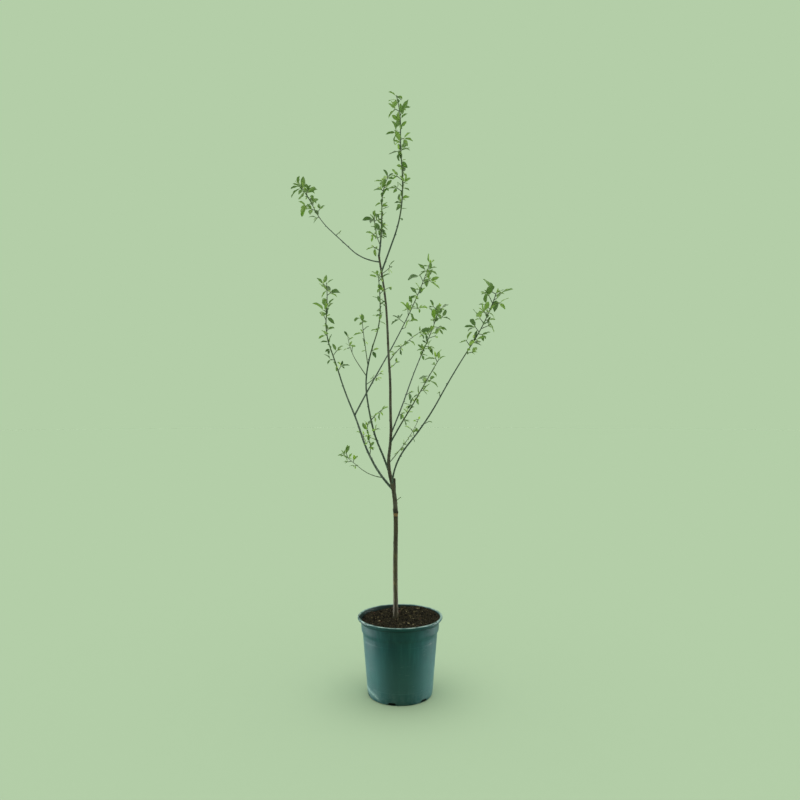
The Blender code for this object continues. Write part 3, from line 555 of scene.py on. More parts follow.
class Pile:
    """Corners and faces of many small things, gathered for one mesh."""

    def __init__(self):
        self.corners = []
        self.faces = []
        self.slots = []

    def add(self, corners, faces, slot=0):
        """Adds a shape; slot is the material's number for all its faces, or a list with one for each."""
        base = len(self.corners)
        self.corners.extend(map(tuple, np.asarray(corners).tolist()))
        self.faces.extend(tuple(base + corner for corner in face) for face in faces)
        self.slots.extend(slot if isinstance(slot, list) else [slot] * len(faces))

    def piece(self, name, record_slot, materials, stands_for):
        """The finished object: smooth, riding on the one body and standing for its solids."""
        mesh = bpy.data.meshes.new(name)
        mesh.from_pydata(self.corners, [], self.faces)
        for material in materials:
            mesh.materials.append(material)
        mesh.polygons.foreach_set("material_index", self.slots)
        mesh.shade_smooth()
        mesh.update()
        return settle(bpy.data.objects.new(name, mesh), stands_for)


def settle(made, stands_for):
    """Links a piece to the scene, puts it on the one body and hides the solids it stands for."""
    if made.name not in bpy.context.scene.collection.objects:
        bpy.context.scene.collection.objects.link(made)
    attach(made, "root")
    if stands_for:
        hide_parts(*stands_for)
    return made


def ring_frames(points):
    """Two directions square to a course at each of its points, with no twist from one to the next."""
    ways = np.gradient(points, axis=0)
    ways /= np.linalg.norm(ways, axis=1)[:, None]
    side = across(ways[0])[0]
    sides = []
    for way in ways:
        side = unit(side - side.dot(way) * way)
        sides.append(side)
    sides = np.array(sides)
    return sides, np.cross(ways, sides)


def tube(points, radii, sides):
    """Closed tube round a course as corners and faces; radii has one value for each ring or each corner."""
    first, second = ring_frames(points)
    turns = 2 * math.pi * np.arange(sides) / sides
    radii = np.asarray(radii)
    if radii.ndim == 1:
        radii = np.repeat(radii[:, None], sides, axis=1)
    out = first[:, None, :] * np.cos(turns)[None, :, None] + second[:, None, :] * np.sin(turns)[None, :, None]
    corners = (points[:, None, :] + out * radii[:, :, None]).reshape(-1, 3)
    corners = np.vstack([corners, points[0], points[-1]])
    foot, tip = len(corners) - 2, len(corners) - 1
    top = (len(points) - 1) * sides
    faces = []
    for corner in range(sides):
        following = (corner + 1) % sides
        faces.append((foot, following, corner))
        faces.append((tip, top + corner, top + following))
    for low in range(0, top, sides):
        for corner in range(sides):
            following = (corner + 1) % sides
            faces.append((low + corner, low + following, low + sides + following, low + sides + corner))
    return corners, faces


def noise_at(places, scale, stretch=1.0):
    """Smooth noise from -1 to 1 at places, finer by scale and drawn out along Z by stretch."""
    scaled = np.asarray(places).reshape(-1, 3) * np.array((scale, scale, scale / stretch))
    return np.array([noise.noise(Vector(spot)) for spot in scaled])


def bark_radii(name, points, fractions, sides):
    """Radius at every corner of a limb's bark: taper, ridges, flare, graft and the nodes' scars."""
    limb = LIMBS[name]
    turns = 2 * math.pi * np.arange(sides) / sides
    radii = np.array([girth(name, fraction) for fraction in fractions])[:, None] * np.ones(sides)
    first, second = ring_frames(points)
    out = first[:, None, :] * np.cos(turns)[None, :, None] + second[:, None, :] * np.sin(turns)[None, :, None]
    skin = (points[:, None, :] + out * radii[:, :, None]).reshape(-1, 3)
    ridges = noise_at(skin, 420, 7).reshape(radii.shape) + 0.6 * noise_at(skin, 1100, 2).reshape(radii.shape)
    scale = np.clip(radii / limb.foot_radius, 0.4, 1.0) * np.clip(limb.foot_radius / 0.0045, 0.45, 1.0)
    radii += BARK_RELIEF * scale * ridges
    along = np.asarray(fractions)[:, None] * limb.length
    if name == "trunk":
        lobes = 0.5 + 0.5 * np.sin(FLARE_LOBES * turns + 0.8)[None, :]
        radii += 0.0016 * (lobes - 0.4) * np.exp(-along / FLARE_HEIGHT)
        height = along - GRAFT_AT * limb.length - GRAFT_SLANT * np.cos(turns)[None, :]
        radii += GRAFT_RIDGE * np.exp(-(height / 0.0030) ** 2) - 0.0004 * np.exp(-((height - 0.0065) / 0.0026) ** 2)
    return radii + node_scars(name, along, turns)


def node_shift(node):
    """Uneven part of the spacing between nodes."""
    return NODE_UNEVENNESS * math.sin(node * 2.3)


def node_scars(name, along, turns):
    """Swelling at each node of bare wood, with a leaf scar that turns round it by the golden angle."""
    limb = LIMBS[name]
    reach = limb.length * limb.bare
    count = int(reach / NODE_SPACING)
    scars = np.zeros((along.shape[0], len(turns)))
    for node in range(1, count + 1):
        middle = node * NODE_SPACING + node_shift(node)
        turn = math.radians(node * NODE_TURN)
        apart = np.angle(np.exp(1j * (turns - turn)))[None, :]
        height = np.exp(-((along - middle) / NODE_HEIGHT) ** 2)
        scars += NODE_SWELL * height * (0.3 + 1.1 * np.exp(-(apart / 0.7) ** 2))
    thickness = min(1.0, limb.foot_radius / 0.0040)
    return scars * thickness


def limb_bark(pile, name, courses, sides, begin=0.0, end=1.0):
    """Adds one limb's bark to a pile."""
    limb = LIMBS[name]
    rings = max(4, int((end - begin) * limb.length / RING_SPACING))
    fractions = np.linspace(begin, end, rings)
    points = smooth_places(courses[name], fractions)
    pile.add(*tube(points, bark_radii(name, points, fractions, sides), sides))


def bud(pile, root, way, length, radius):
    """Small pointed bud of overlapping scales."""
    shares = np.array((0.0, 0.15, 0.4, 0.65, 0.85, 1.0))
    swell = np.array((0.7, 1.0, 0.95, 0.7, 0.35, 0.05))
    points = root + way * length * shares[:, None]
    pile.add(*tube(points, radius * swell, SPUR_SIDES))


def stub_wood(pile, courses):
    """The cut stub beside the fork, with its pale cut end."""
    start = place(courses["trunk"], STUB_AT)[0]
    upward = unit(np.array((math.tan(math.radians(STUB_LEAN)), math.tan(math.radians(STUB_BACK)), 1.0)))
    shares = np.linspace(0, 1, int(STUB_LENGTH / RING_SPACING))
    points = start + upward * STUB_LENGTH * shares[:, None]
    radii = np.interp(shares, (0, 0.96, 1), (STUB_FOOT_RADIUS, STUB_TIP_RADIUS, STUB_TIP_RADIUS * 0.8))
    skin = tube(points, radii, BOUGH_SIDES)[0][:-2]
    relief = BARK_RELIEF * noise_at(skin, 700, 8).reshape(len(points), BOUGH_SIDES)
    pile.add(*tube(points, radii[:, None] + relief, BOUGH_SIDES))
    cut = points[-1] + upward * np.array((0.0, 0.5, 1.0))[:, None] * STUB_CUT_HEIGHT
    pile.add(*tube(cut, STUB_TIP_RADIUS * np.array((0.78, 0.70, 0.45)), BOUGH_SIDES), 1)


def trunk_wood(courses):
    """Bark of the trunk and of its cut stub."""
    pile = Pile()
    limb_bark(pile, "trunk", courses, TRUNK_SIDES)
    stub_wood(pile, courses)
    pile.piece("trunk_bark", "bark", [trunk_material(), grit_material("cut_wood", CUT_TONE, 0.8)], ["trunk"])


def dormant_buds(pile, name, courses):
    """Small buds above two of every three leaf scars on a bare limb."""
    limb = LIMBS[name]
    for node in range(1, int(limb.length * limb.bare / NODE_SPACING) + 1):
        if node % 3 == 0:
            continue
        fraction = (node * NODE_SPACING + node_shift(node)) / limb.length
        root, along = place(courses[name], fraction)
        out = turned(along, node * NODE_TURN)
        bud(pile, root + out * girth(name, fraction) * 0.8, unit(out + along * 0.9), BUD_LENGTH, BUD_RADIUS)


def bough_wood(courses):
    """Bark of all the boughs up to where their foliage begins, with their dormant buds."""
    pile = Pile()
    boughs = [name for name, limb in LIMBS.items() if limb.bare and limb.parent]
    for name in boughs:
        limb_bark(pile, name, courses, BOUGH_SIDES, 0.0, LIMBS[name].bare)
        dormant_buds(pile, name, courses)
    pile.piece("bough_bark", "bark", [bark_material("bark_bough", BOUGH_TONES, BOUGH_PORE, 520)], boughs)


def twig_wood(courses, crowns):
    """Stems, spurs and buds of all the masses in one piece."""
    pile = Pile()
    for name, sprays in crowns.items():
        mass = MASSES[name]
        limb_bark(pile, mass.limb, courses, STEM_SIDES, LIMBS[mass.limb].bare, 1.0)
        for spray in sprays:
            spur = spray.spur
            if spur.reach > 0:
                shares = np.linspace(0, 1, SPUR_RINGS)
                points = spur.root + spur.way * spur.reach * shares[:, None]
                scars = 1 + SPUR_SCARS * np.cos(shares * math.pi * (SPUR_RINGS - 1))
                pile.add(*tube(points, np.interp(shares, (0, 1), (SPUR_RADIUS, SPUR_TIP_RADIUS)) * scars,
                               SPUR_SIDES))
            tip = spur.root + spur.way * max(0.0, spur.reach - ROOT_DEPTH)
            bud(pile, tip, spur.way, BUD_LENGTH, BUD_RADIUS)
    pile.piece("twigs", "bark", [bark_material("bark_twig", TWIG_TONES, BOUGH_PORE, 700)], list(crowns))


def blade_faces():
    """Faces of one blade: an upper and an under sheet that share their edge, and a corner at each end."""
    columns = 2 * BLADE_COLUMNS + 1
    rows = BLADE_ROWS - 1
    upper = np.arange(rows * columns).reshape(rows, columns)
    under = upper.copy()
    under[:, 1:-1] = rows * columns + np.arange(rows * (columns - 2)).reshape(rows, columns - 2)
    base = rows * columns + rows * (columns - 2)
    tip = base + 1
    sheets = []
    for sheet, flip in ((upper, False), (under, True)):
        faces = []
        for row in range(rows - 1):
            for column in range(columns - 1):
                faces.append((sheet[row, column], sheet[row, column + 1],
                              sheet[row + 1, column + 1], sheet[row + 1, column]))
        for column in range(columns - 1):
            faces.append((base, sheet[0, column + 1], sheet[0, column]))
            faces.append((tip, sheet[-1, column], sheet[-1, column + 1]))
        faces = [tuple(int(corner) for corner in face) for face in faces]
        sheets.append([tuple(reversed(face)) for face in faces] if flip else faces)
    return sheets


def blade_outline(shares, tip_power):
    """Half width of a blade along its length, from 0 to 1."""
    widest = BLADE_BASE_POWER / (BLADE_BASE_POWER + tip_power)
    most = widest ** BLADE_BASE_POWER * (1 - widest) ** tip_power
    return shares ** BLADE_BASE_POWER * (1 - shares) ** tip_power / most


def blade_corners(leaf, random):
    """Corners of a leaf's blade: folded on its midrib, arched, a little twisted and toothed."""
    shares = np.linspace(0, 1, BLADE_ROWS + 1)
    length = leaf.length * (1 - STALK_SHARE)
    bend = math.radians(random.uniform(*BLADE_BENDS))
    fold = math.radians(random.uniform(*BLADE_FOLDS))
    twist = math.radians(random.uniform(-BLADE_TWIST, BLADE_TWIST))
    waves = random.uniform(*BLADE_WAVES)
    phase = random.uniform(0, 2 * math.pi)
    up = np.cross(leaf.side, leaf.way)
    arch = (bend * (0.5 - shares))[:, None]
    ways = leaf.way * np.cos(arch) + up * np.sin(arch)
    ups = up * np.cos(arch) - leaf.way * np.sin(arch)
    start = leaf.root + leaf.way * leaf.length * STALK_SHARE
    middles = start + np.vstack([np.zeros(3), np.cumsum((ways[1:] + ways[:-1]) / 2, 0)]) * length / BLADE_ROWS
    turn = (twist * (shares - 0.3))[:, None]
    sides = leaf.side * np.cos(turn) + ups * np.sin(turn)
    normals = ups * np.cos(turn) - leaf.side * np.sin(turn)
    half = leaf.width / 2 * BLADE_FULLNESS * blade_outline(shares, random.uniform(*BLADE_TIP_POWERS))
    spread = np.linspace(-1, 1, 2 * BLADE_COLUMNS + 1)
    out = np.abs(spread)[None, :]
    teeth = 1 - TOOTH_DEPTH * (np.arange(BLADE_ROWS + 1) % 2)[:, None] * (out > 0.99)
    reach = half[:, None] * spread[None, :] * teeth
    rise = np.abs(reach) * math.sin(fold)
    rise += BLADE_WAVE_HEIGHT * leaf.width * out ** 2 * np.sin(
        2 * math.pi * waves * shares[:, None] + phase + 1.3 * np.sign(spread)[None, :])
    veins = np.abs(np.sin(math.pi * (SIDE_VEINS * shares[:, None] - VEIN_SLANT * out)))
    rise += VEIN_BULGE * veins * 4 * out * (1 - out) * np.minimum(1, half / half.max() * 2)[:, None]
    upper = middles[:, None, :] + sides[:, None, :] * (reach * math.cos(fold))[:, :, None]
    upper = upper + normals[:, None, :] * rise[:, :, None]
    depth = BLADE_THICKNESS * (1 - out ** 2)
    depth[:, BLADE_COLUMNS] = MIDRIB_THICKNESS
    depth = depth * (0.35 + 0.65 * (1 - shares))[:, None]
    under = upper - normals[:, None, :] * depth[:, :, None]
    return np.vstack([upper[1:-1].reshape(-1, 3), under[1:-1, 1:-1].reshape(-1, 3), middles[0], middles[-1]])


def stalk(pile, leaf):
    """Thin stalk from the spur to the blade, a little sunk in both."""
    up = np.cross(leaf.side, leaf.way)
    shares = np.linspace(0, 1, 5)
    sag = -0.06 * np.sin(math.pi * shares)[:, None] * up
    points = leaf.root + (leaf.way * shares[:, None] + sag) * leaf.length * (STALK_SHARE + 0.02)
    pile.add(*tube(points, np.interp(shares, (0, 1), STALK_RADII), 5))


def young_leaves(mass, spray, random, space):
    """Small leaves that open at the end of a spur, nearer its line than the full-grown ones."""
    spur = spray.spur
    young = []
    count = random.randint(*YOUNG_LEAVES)
    turn = random.uniform(0, 360)
    for number in range(count):
        opening = math.radians(random.uniform(*YOUNG_OPENING))
        size = random.uniform(*YOUNG_SIZES)
        leaf = new_leaf(random, mass, spur, turn + number * 360 / count, opening, size)
        if fits(leaf, space):
            young.append(leaf)
    return young


def foliage(crowns, bark, stems):
    """All blades, dealt out by spray to pieces of one tint each, and their stalks in one more."""
    upper_faces, under_faces = blade_faces()
    faces = upper_faces + under_faces
    sheets = [0] * len(upper_faces) + [1] * len(under_faces)
    piles = {tint: Pile() for tint in LEAF_TINTS}
    stalks = Pile()
    grown_tints = [tint for tint, look in LEAF_TINTS.items() if look.share]
    shares = [LEAF_TINTS[tint].share for tint in grown_tints]
    for name, sprays in crowns.items():
        mass = MASSES[name]
        space = space_of(name, bark, stems)
        random = Random(mass.seed + YOUNG_SEED_STEP)
        for spray in sprays:
            tint = random.choices(grown_tints, shares)[0]
            young = young_leaves(mass, spray, random, space)
            dealt = [(leaf, tint) for leaf in spray.leaves] + [(leaf, "young") for leaf in young]
            for leaf, tone_name in dealt:
                piles[tone_name].add(blade_corners(leaf, random), faces, sheets)
                stalk(stalks, leaf)
    for tint, pile in piles.items():
        look = LEAF_TINTS[tint]
        upper = blade_material("leaf_" + tint, look.upper, 0.40, 0.10)
        under = blade_material("leaf_" + tint + "_under", look.under, 0.62, 0.18)
        pile.piece("leaves_" + tint, "foliage", [upper, under], list(crowns))
    stalk_look = blade_material("leaf_stalk", STALK_TONE, 0.5, 0.05)
    stalks.piece("leaf_stalks", "foliage", [stalk_look], list(crowns))


def new_material(name, roughness, specular=0.5):
    """Material with its node tree and shader, ready for a surface's own nodes."""
    material = bpy.data.materials.new(name)
    material.use_nodes = True
    shader = material.node_tree.nodes["Principled BSDF"]
    shader.inputs["Roughness"].default_value = roughness
    shader.inputs["Specular IOR Level"].default_value = specular
    return material, material.node_tree, shader


def add(tree, kind, inputs, **settings):
    """Adds a node; inputs maps a socket's name or number to a value or to another node's output."""
    node = tree.nodes.new(kind)
    for key, value in settings.items():
        setattr(node, key, value)
    for key, value in inputs.items():
        if isinstance(value, bpy.types.NodeSocket):
            tree.links.new(value, node.inputs[key])
        else:
            node.inputs[key].default_value = value
    return node


def places(tree, scale=(1, 1, 1)):
    """Places on the object in metres, each axis multiplied by its scale."""
    where = add(tree, "ShaderNodeTexCoord", {}).outputs["Object"]
    return add(tree, "ShaderNodeMapping", {"Vector": where, "Scale": scale}).outputs[0]


def cloudy(tree, scale, stretch=(1, 1, 1), detail=4, roughness=0.55):
    """Noise from 0 to 1 with so many features to the metre."""
    values = {"Vector": places(tree, stretch), "Scale": scale, "Detail": detail, "Roughness": roughness}
    return add(tree, "ShaderNodeTexNoise", values).outputs[0]


def ramp(tree, value, stops):
    """Colours laid out along a value: stops are pairs of place and colour."""
    node = add(tree, "ShaderNodeValToRGB", {0: value})
    elements = node.color_ramp.elements
    while len(elements) < len(stops):
        elements.new(1.0)
    for element, (position, colour) in zip(elements, stops):
        element.position = position
        element.color = (*colour, 1.0)
    return node.outputs[0]


def spread(tree, value, low, high, to_low=0.0, to_high=1.0):
    """The value's stretch from low to high, spread from to_low to to_high."""
    values = {0: value, 1: low, 2: high, 3: to_low, 4: to_high}
    return add(tree, "ShaderNodeMapRange", values).outputs[0]


def mixed(tree, share, first, second, way="MIX"):
    """Two colours mixed by a share."""
    node = add(tree, "ShaderNodeMix", {}, data_type="RGBA", blend_type=way)
    for number, value in ((0, share), (6, first), (7, second)):
        if isinstance(value, bpy.types.NodeSocket):
            tree.links.new(value, node.inputs[number])
        elif number:
            node.inputs[number].default_value = (*value, 1.0)
        else:
            node.inputs[number].default_value = value
    return node.outputs[2]


def times(tree, first, second, operation="MULTIPLY"):
    return add(tree, "ShaderNodeMath", {0: first, 1: second}, operation=operation).outputs[0]


def height_of(tree):
    """Height of a place above the floor."""
    return add(tree, "ShaderNodeSeparateXYZ", {0: places(tree)}).outputs[2]


def bump(tree, shader, height, distance):
    """Fine relief on a shader from a value, as high as the distance."""
    node = add(tree, "ShaderNodeBump", {"Strength": 1.0, "Distance": distance, "Height": height})
    tree.links.new(node.outputs[0], shader.inputs["Normal"])


def colour(tree, shader, socket):
    tree.links.new(socket, shader.inputs["Base Color"])


def out_of_axis(tree):
    """Distance of a place from the upright axis through the pot."""
    flat = places(tree, (1, 1, 0))
    return add(tree, "ShaderNodeVectorMath", {0: flat}, operation="LENGTH").outputs["Value"]


def scuff_and_highlight(tree):
    """One pale scuff with a painted highlight of the foot's edge, running down across the lower left of the wall,
    as a share.
    """
    slope = (SCUFF_HIGHLIGHT_END[1] - SCUFF_HIGHLIGHT_START[1]) / (SCUFF_HIGHLIGHT_END[0] - SCUFF_HIGHLIGHT_START[0])
    apart = add(tree, "ShaderNodeSeparateXYZ", {0: places(tree)}).outputs
    line = times(tree, times(tree, apart[0], slope), SCUFF_HIGHLIGHT_START[1] - slope * SCUFF_HIGHLIGHT_START[0], "ADD")
    off = times(tree, times(tree, apart[2], line, "SUBTRACT"), 0.0, "ABSOLUTE")
    front = times(tree, spread(tree, apart[1], 0.010, 0.0), spread(tree, apart[0], -0.050, -0.056))
    return times(tree, spread(tree, off, SCUFF_HIGHLIGHT_WIDTH, 0.0), front)


def pot_material():
    """Moulded nursery plastic: teal, clouded, dusty near the foot, with fine scuffs, painted highlights on the lip
    and lower left, and painted shade in its mouth, notches and underside.
    """
    material, tree, shader = new_material("pot_plastic", 0.42, 0.22)
    clouds = cloudy(tree, 14, (1, 1, 0.5), 5)
    base = ramp(tree, clouds, ((0.32, POT_DARK), (0.72, POT_TEAL)))
    streaks = spread(tree, cloudy(tree, 130, (1, 1, 0.07), 3), 0.5, 0.8)
    base = mixed(tree, times(tree, streaks, 0.35), base, POT_STREAK)
    haze = times(tree, spread(tree, height_of(tree), 0.135, 0.055, 0.0, 0.58),
                 spread(tree, height_of(tree), 0.0, 0.030, 0.35, 1.0))
    base = mixed(tree, haze, base, POT_HAZE)
    low = spread(tree, height_of(tree), 0.045, 0.0)
    dust = times(tree, spread(tree, cloudy(tree, 55, detail=6, roughness=0.7), 0.42, 0.75), low)
    base = mixed(tree, times(tree, dust, 0.32), base, POT_DUST)
    scuffs = spread(tree, cloudy(tree, 420, (0.12, 0.12, 1), 2), 0.66, 0.74)
    patches = spread(tree, cloudy(tree, 18), 0.5, 0.62)
    base = mixed(tree, times(tree, times(tree, scuffs, patches), 0.25), base, POT_DUST)
    # A pale scuff with a painted highlight down the lower left of the wall
    base = mixed(tree, times(tree, scuff_and_highlight(tree), spread(tree, cloudy(tree, 160), 0.3, 0.6, 0.1, 0.6)),
                 base, POT_WEAR_AND_HIGHLIGHT)
    # Painted highlight with wear: the rounded top of the lip is made paler by height
    lip_wear_and_highlight = spread(tree, height_of(tree), POT_HEIGHT - LIP_ROUND / 2, POT_HEIGHT, 0.0, 0.85)
    base = mixed(tree, times(tree, lip_wear_and_highlight, spread(tree, cloudy(tree, 60), 0.3, 0.6)), base, POT_WEAR_AND_HIGHLIGHT)
    # Painted shade: the inner wall above the compost is darkened towards POT_SHADED
    inside = spread(tree, out_of_axis(tree), MOUTH_RADIUS, MOUTH_RADIUS - 0.0008)
    mouth = times(tree, inside, spread(tree, height_of(tree), LIP_FOOT_HEIGHT, LIP_FOOT_HEIGHT + 0.001))
    # Painted shade: inside the foot's outline below the notches' tops, the notches' insides, their sills and the
    # underside are darkened to POT_SHADED
    inside = spread(tree, out_of_axis(tree), FOOT_RADIUS - 0.0006, FOOT_RADIUS - 0.0014)
    notches = times(tree, inside, spread(tree, height_of(tree), NOTCH_HEIGHT + 0.0010, NOTCH_HEIGHT + 0.0003))
    base = mixed(tree, times(tree, mouth, 0.8), base, POT_SHADED)
    base = mixed(tree, notches, base, POT_SHADED)
    colour(tree, shader, base)
    tree.links.new(spread(tree, cloudy(tree, 40, detail=6), 0.3, 0.7, 0.36, 0.52), shader.inputs["Roughness"])
    bump(tree, shader, cloudy(tree, 900, detail=3), 0.00010)
    return material


def soil_material():
    """Moist peaty compost."""
    material, tree, shader = new_material("compost", 0.95, 0.1)
    stops = ((0.28, SOIL_DARK), (0.50, SOIL_BROWN), (0.64, SOIL_WARM), (0.80, SOIL_PALE))
    colour(tree, shader, ramp(tree, cloudy(tree, 330, detail=8, roughness=0.75), stops))
    bump(tree, shader, cloudy(tree, 700, detail=8, roughness=0.8), 0.0016)
    return material


def grit_material(name, tone, roughness):
    """One plain tone of loose compost, with its grain."""
    material, tree, shader = new_material(name, roughness, 0.1)
    grain = cloudy(tree, 1500, detail=4, roughness=0.7)
    darker = tuple(value * 0.55 for value in tone)
    colour(tree, shader, ramp(tree, grain, ((0.35, darker), (0.65, tone))))
    bump(tree, shader, grain, 0.0004)
    return material


def bark_material(name, tones, pore_tone, pore_size):
    """Young bark: tones in upright streaks, a silvery bloom, pale pores that lie across, fine cracks."""
    material, tree, shader = new_material(name, 0.72, 0.35)
    streaks = cloudy(tree, 260, (1, 1, 0.16), 6, 0.65)
    base = ramp(tree, streaks, ((0.30, tones[0]), (0.52, tones[1]), (0.72, tones[2])))
    bloom = spread(tree, cloudy(tree, 90, (1, 1, 0.35), 5), 0.50, 0.72)
    base = mixed(tree, times(tree, bloom, 0.45), base, BARK_BLOOM)
    cells = add(tree, "ShaderNodeTexVoronoi", {"Vector": places(tree, (1, 1, 2.2)), "Scale": pore_size})
    pores = spread(tree, cells.outputs["Distance"], 0.20, 0.10)
    base = mixed(tree, times(tree, pores, 0.8), base, pore_tone)
    colour(tree, shader, base)
    relief = times(tree, times(tree, streaks, 0.7), times(tree, pores, 0.6), "ADD")
    bump(tree, shader, relief, 0.0005)
    return material


def band(tree, value, low, high, edge):
    """Share of a value between low and high, with soft edges."""
    return times(tree, spread(tree, value, low - edge, low), spread(tree, value, high + edge, high))


def trunk_material():
    """Bark of the trunk: brown and olive below the graft with its dark scar and pale callus, grey above."""
    material = bark_material("bark_trunk", TRUNK_TONES, TRUNK_PORE, 420)
    tree = material.node_tree
    shader = tree.nodes["Principled BSDF"]
    own = shader.inputs["Base Color"].links[0].from_socket
    blotches = ramp(tree, cloudy(tree, 85, (1, 1, 0.5), 5, 0.6), ((0.40, STOCK_DARK), (0.60, STOCK_OLIVE),
                                                                (0.74, STOCK_TAN)))
    height = height_of(tree)
    below = spread(tree, height, GRAFT_HEIGHT + 0.010, GRAFT_HEIGHT - 0.004)
    base = mixed(tree, times(tree, below, 0.72), own, blotches)
    scar = band(tree, height, GRAFT_HEIGHT - 0.0040, GRAFT_HEIGHT + 0.0040, 0.0020)
    base = mixed(tree, times(tree, scar, 0.75), base, SCAR_TONE)
    callus = band(tree, height, GRAFT_HEIGHT - 0.0130, GRAFT_HEIGHT - 0.0075, 0.0015)
    callus = times(tree, callus, spread(tree, cloudy(tree, 140), 0.38, 0.58, 0.1, 0.9))
    colour(tree, shader, mixed(tree, callus, base, CALLUS_TONE))
    return material


def blade_material(name, tone, roughness, sheen):
    """Plain leaf colour with a soft waxy sheen and the fine net of its veins as relief."""
    material, tree, shader = new_material(name, roughness, 0.45)
    shader.inputs["Base Color"].default_value = (*tone, 1.0)
    shader.inputs["Sheen Weight"].default_value = sheen
    shader.inputs["Sheen Roughness"].default_value = 0.5
    net = add(tree, "ShaderNodeTexVoronoi", {"Vector": places(tree), "Scale": 1300},
              feature="DISTANCE_TO_EDGE").outputs["Distance"]
    relief = times(tree, spread(tree, net, 0.0, 0.12), times(tree, cloudy(tree, 500, detail=3), 0.8), "ADD")
    bump(tree, shader, relief, 0.00012)
    return material


def floor_material():
    """Matt floor whose tone, lit by the sky alone, is the sky's own tone at the horizon."""
    material, tree, shader = new_material("stage_floor", 1.0, 0.0)
    bright = (1 - SKY_BREAK) * SKY_BREAK + 2 / 3 * (1 - SKY_BREAK) ** 2
    light = [low * (1 - bright) + high * bright for low, high in zip(SKY_LOW, SKY_HIGH)]
    floor_tone = tuple(low / level for low, level in zip(SKY_LOW, light))
    shader.inputs["Base Color"].default_value = (*floor_tone, 1.0)
    return material


def rounded(corners):
    """Profile with each corner (radius, height, rounding) turned into a short arc of its rounding."""
    profile = []
    last = len(corners) - 1
    for number, (radius, height, rounding) in enumerate(corners):
        here = np.array((radius, height))
        if not rounding or number in (0, last):
            profile.append(here)
            continue
        back = np.array(corners[number - 1][:2]) - here
        ahead = np.array(corners[number + 1][:2]) - here
        back_way, ahead_way = unit(back), unit(ahead)
        reach = min(rounding, np.linalg.norm(back) * 0.48, np.linalg.norm(ahead) * 0.48)
        for share in np.linspace(0, 1, FILLET_STEPS):
            near = here + back_way * reach * (1 - share) ** 2 + ahead_way * reach * share ** 2
            profile.append(near)
    return profile


def lathe(profile, segments, swing=None):
    """Corners and faces of a profile turned round the Z axis; points on the axis are shared."""
    corners = []
    rings = []
    for radius, height in profile:
        count = segments if radius > 0 else 1
        rings.append(range(len(corners), len(corners) + count))
        for segment in range(count):
            turn = 2 * math.pi * segment / segments
            wide = radius + (swing(turn, height) if swing and radius > 0 else 0.0)
            corners.append((wide * math.cos(turn), wide * math.sin(turn), height))
    faces = []
    for low, high in zip(rings, rings[1:]):
        for segment in range(segments):
            following = (segment + 1) % segments
            corner = [low[segment % len(low)], low[following % len(low)],
                      high[following % len(high)], high[segment % len(high)]]
            faces.append(tuple(dict.fromkeys(corner)))
    return corners, faces


def out_of_round(turn, height):
    """How far the thin wall stands out or in of a true circle: more towards the mouth."""
    return OUT_OF_ROUND * math.sin(2 * turn + 0.7) * height / POT_HEIGHT


def wall_radius(height):
    """Outer radius of the pot's foot, wall and collar at a height."""
    heights = (EDGE_ROUND, FOOT_BAND_HEIGHT, WALL_TOP_HEIGHT, COLLAR_FOOT_HEIGHT, LIP_FOOT_HEIGHT)
    radii = (FOOT_RADIUS, WALL_FOOT_RADIUS, WALL_TOP_RADIUS, COLLAR_FOOT_RADIUS, COLLAR_TOP_RADIUS)
    return float(np.interp(height, heights, radii))


def inner_radius(height):
    """Radius of the pot's inner face at a height."""
    heights = (POT_FLOOR, FOOT_BAND_HEIGHT, WALL_TOP_HEIGHT, COLLAR_FOOT_HEIGHT, LIP_FOOT_HEIGHT)
    radii = [wall_radius(level) - POT_WALL for level in heights]
    return float(np.interp(height, (*heights, POT_HEIGHT), (*radii, MOUTH_RADIUS)))


def pot_profile():
    """Corners of the pot's section, from the middle of its floor up the inside and down the outside."""
    corners = [(0.0, POT_FLOOR, 0)]
    for height in (POT_FLOOR, FOOT_BAND_HEIGHT, WALL_TOP_HEIGHT, COLLAR_FOOT_HEIGHT, LIP_FOOT_HEIGHT):
        corners.append((inner_radius(height), height, SOFT_ROUND))
    corners += [(MOUTH_RADIUS, POT_HEIGHT, LIP_ROUND),
                (LIP_RADIUS, POT_HEIGHT, LIP_ROUND),
                (LIP_RADIUS, LIP_EDGE_HEIGHT, LIP_ROUND),
                (wall_radius(LIP_FOOT_HEIGHT), LIP_FOOT_HEIGHT, LIP_ROUND),
                (wall_radius(COLLAR_FOOT_HEIGHT), COLLAR_FOOT_HEIGHT, SOFT_ROUND),
                (wall_radius(WALL_TOP_HEIGHT), WALL_TOP_HEIGHT, SOFT_ROUND)]
    for height, depth in WALL_LINES:
        radius = wall_radius(height)
        corners += [(radius, height + 0.0012, 0.0006), (radius - depth, height, 0.0008),
                    (radius, height - 0.0012, 0.0006)]
    corners += [(WALL_FOOT_RADIUS, FOOT_BAND_HEIGHT, SOFT_ROUND),
                (FOOT_RADIUS, 0.0, EDGE_ROUND * 2), (FOOT_RADIUS - FOOT_RIM, 0.0, EDGE_ROUND),
                (FOOT_RADIUS - FOOT_RIM - EDGE_ROUND, FOOT_RISE, EDGE_ROUND), (0.0, FOOT_RISE, 0)]
    return rounded(corners)


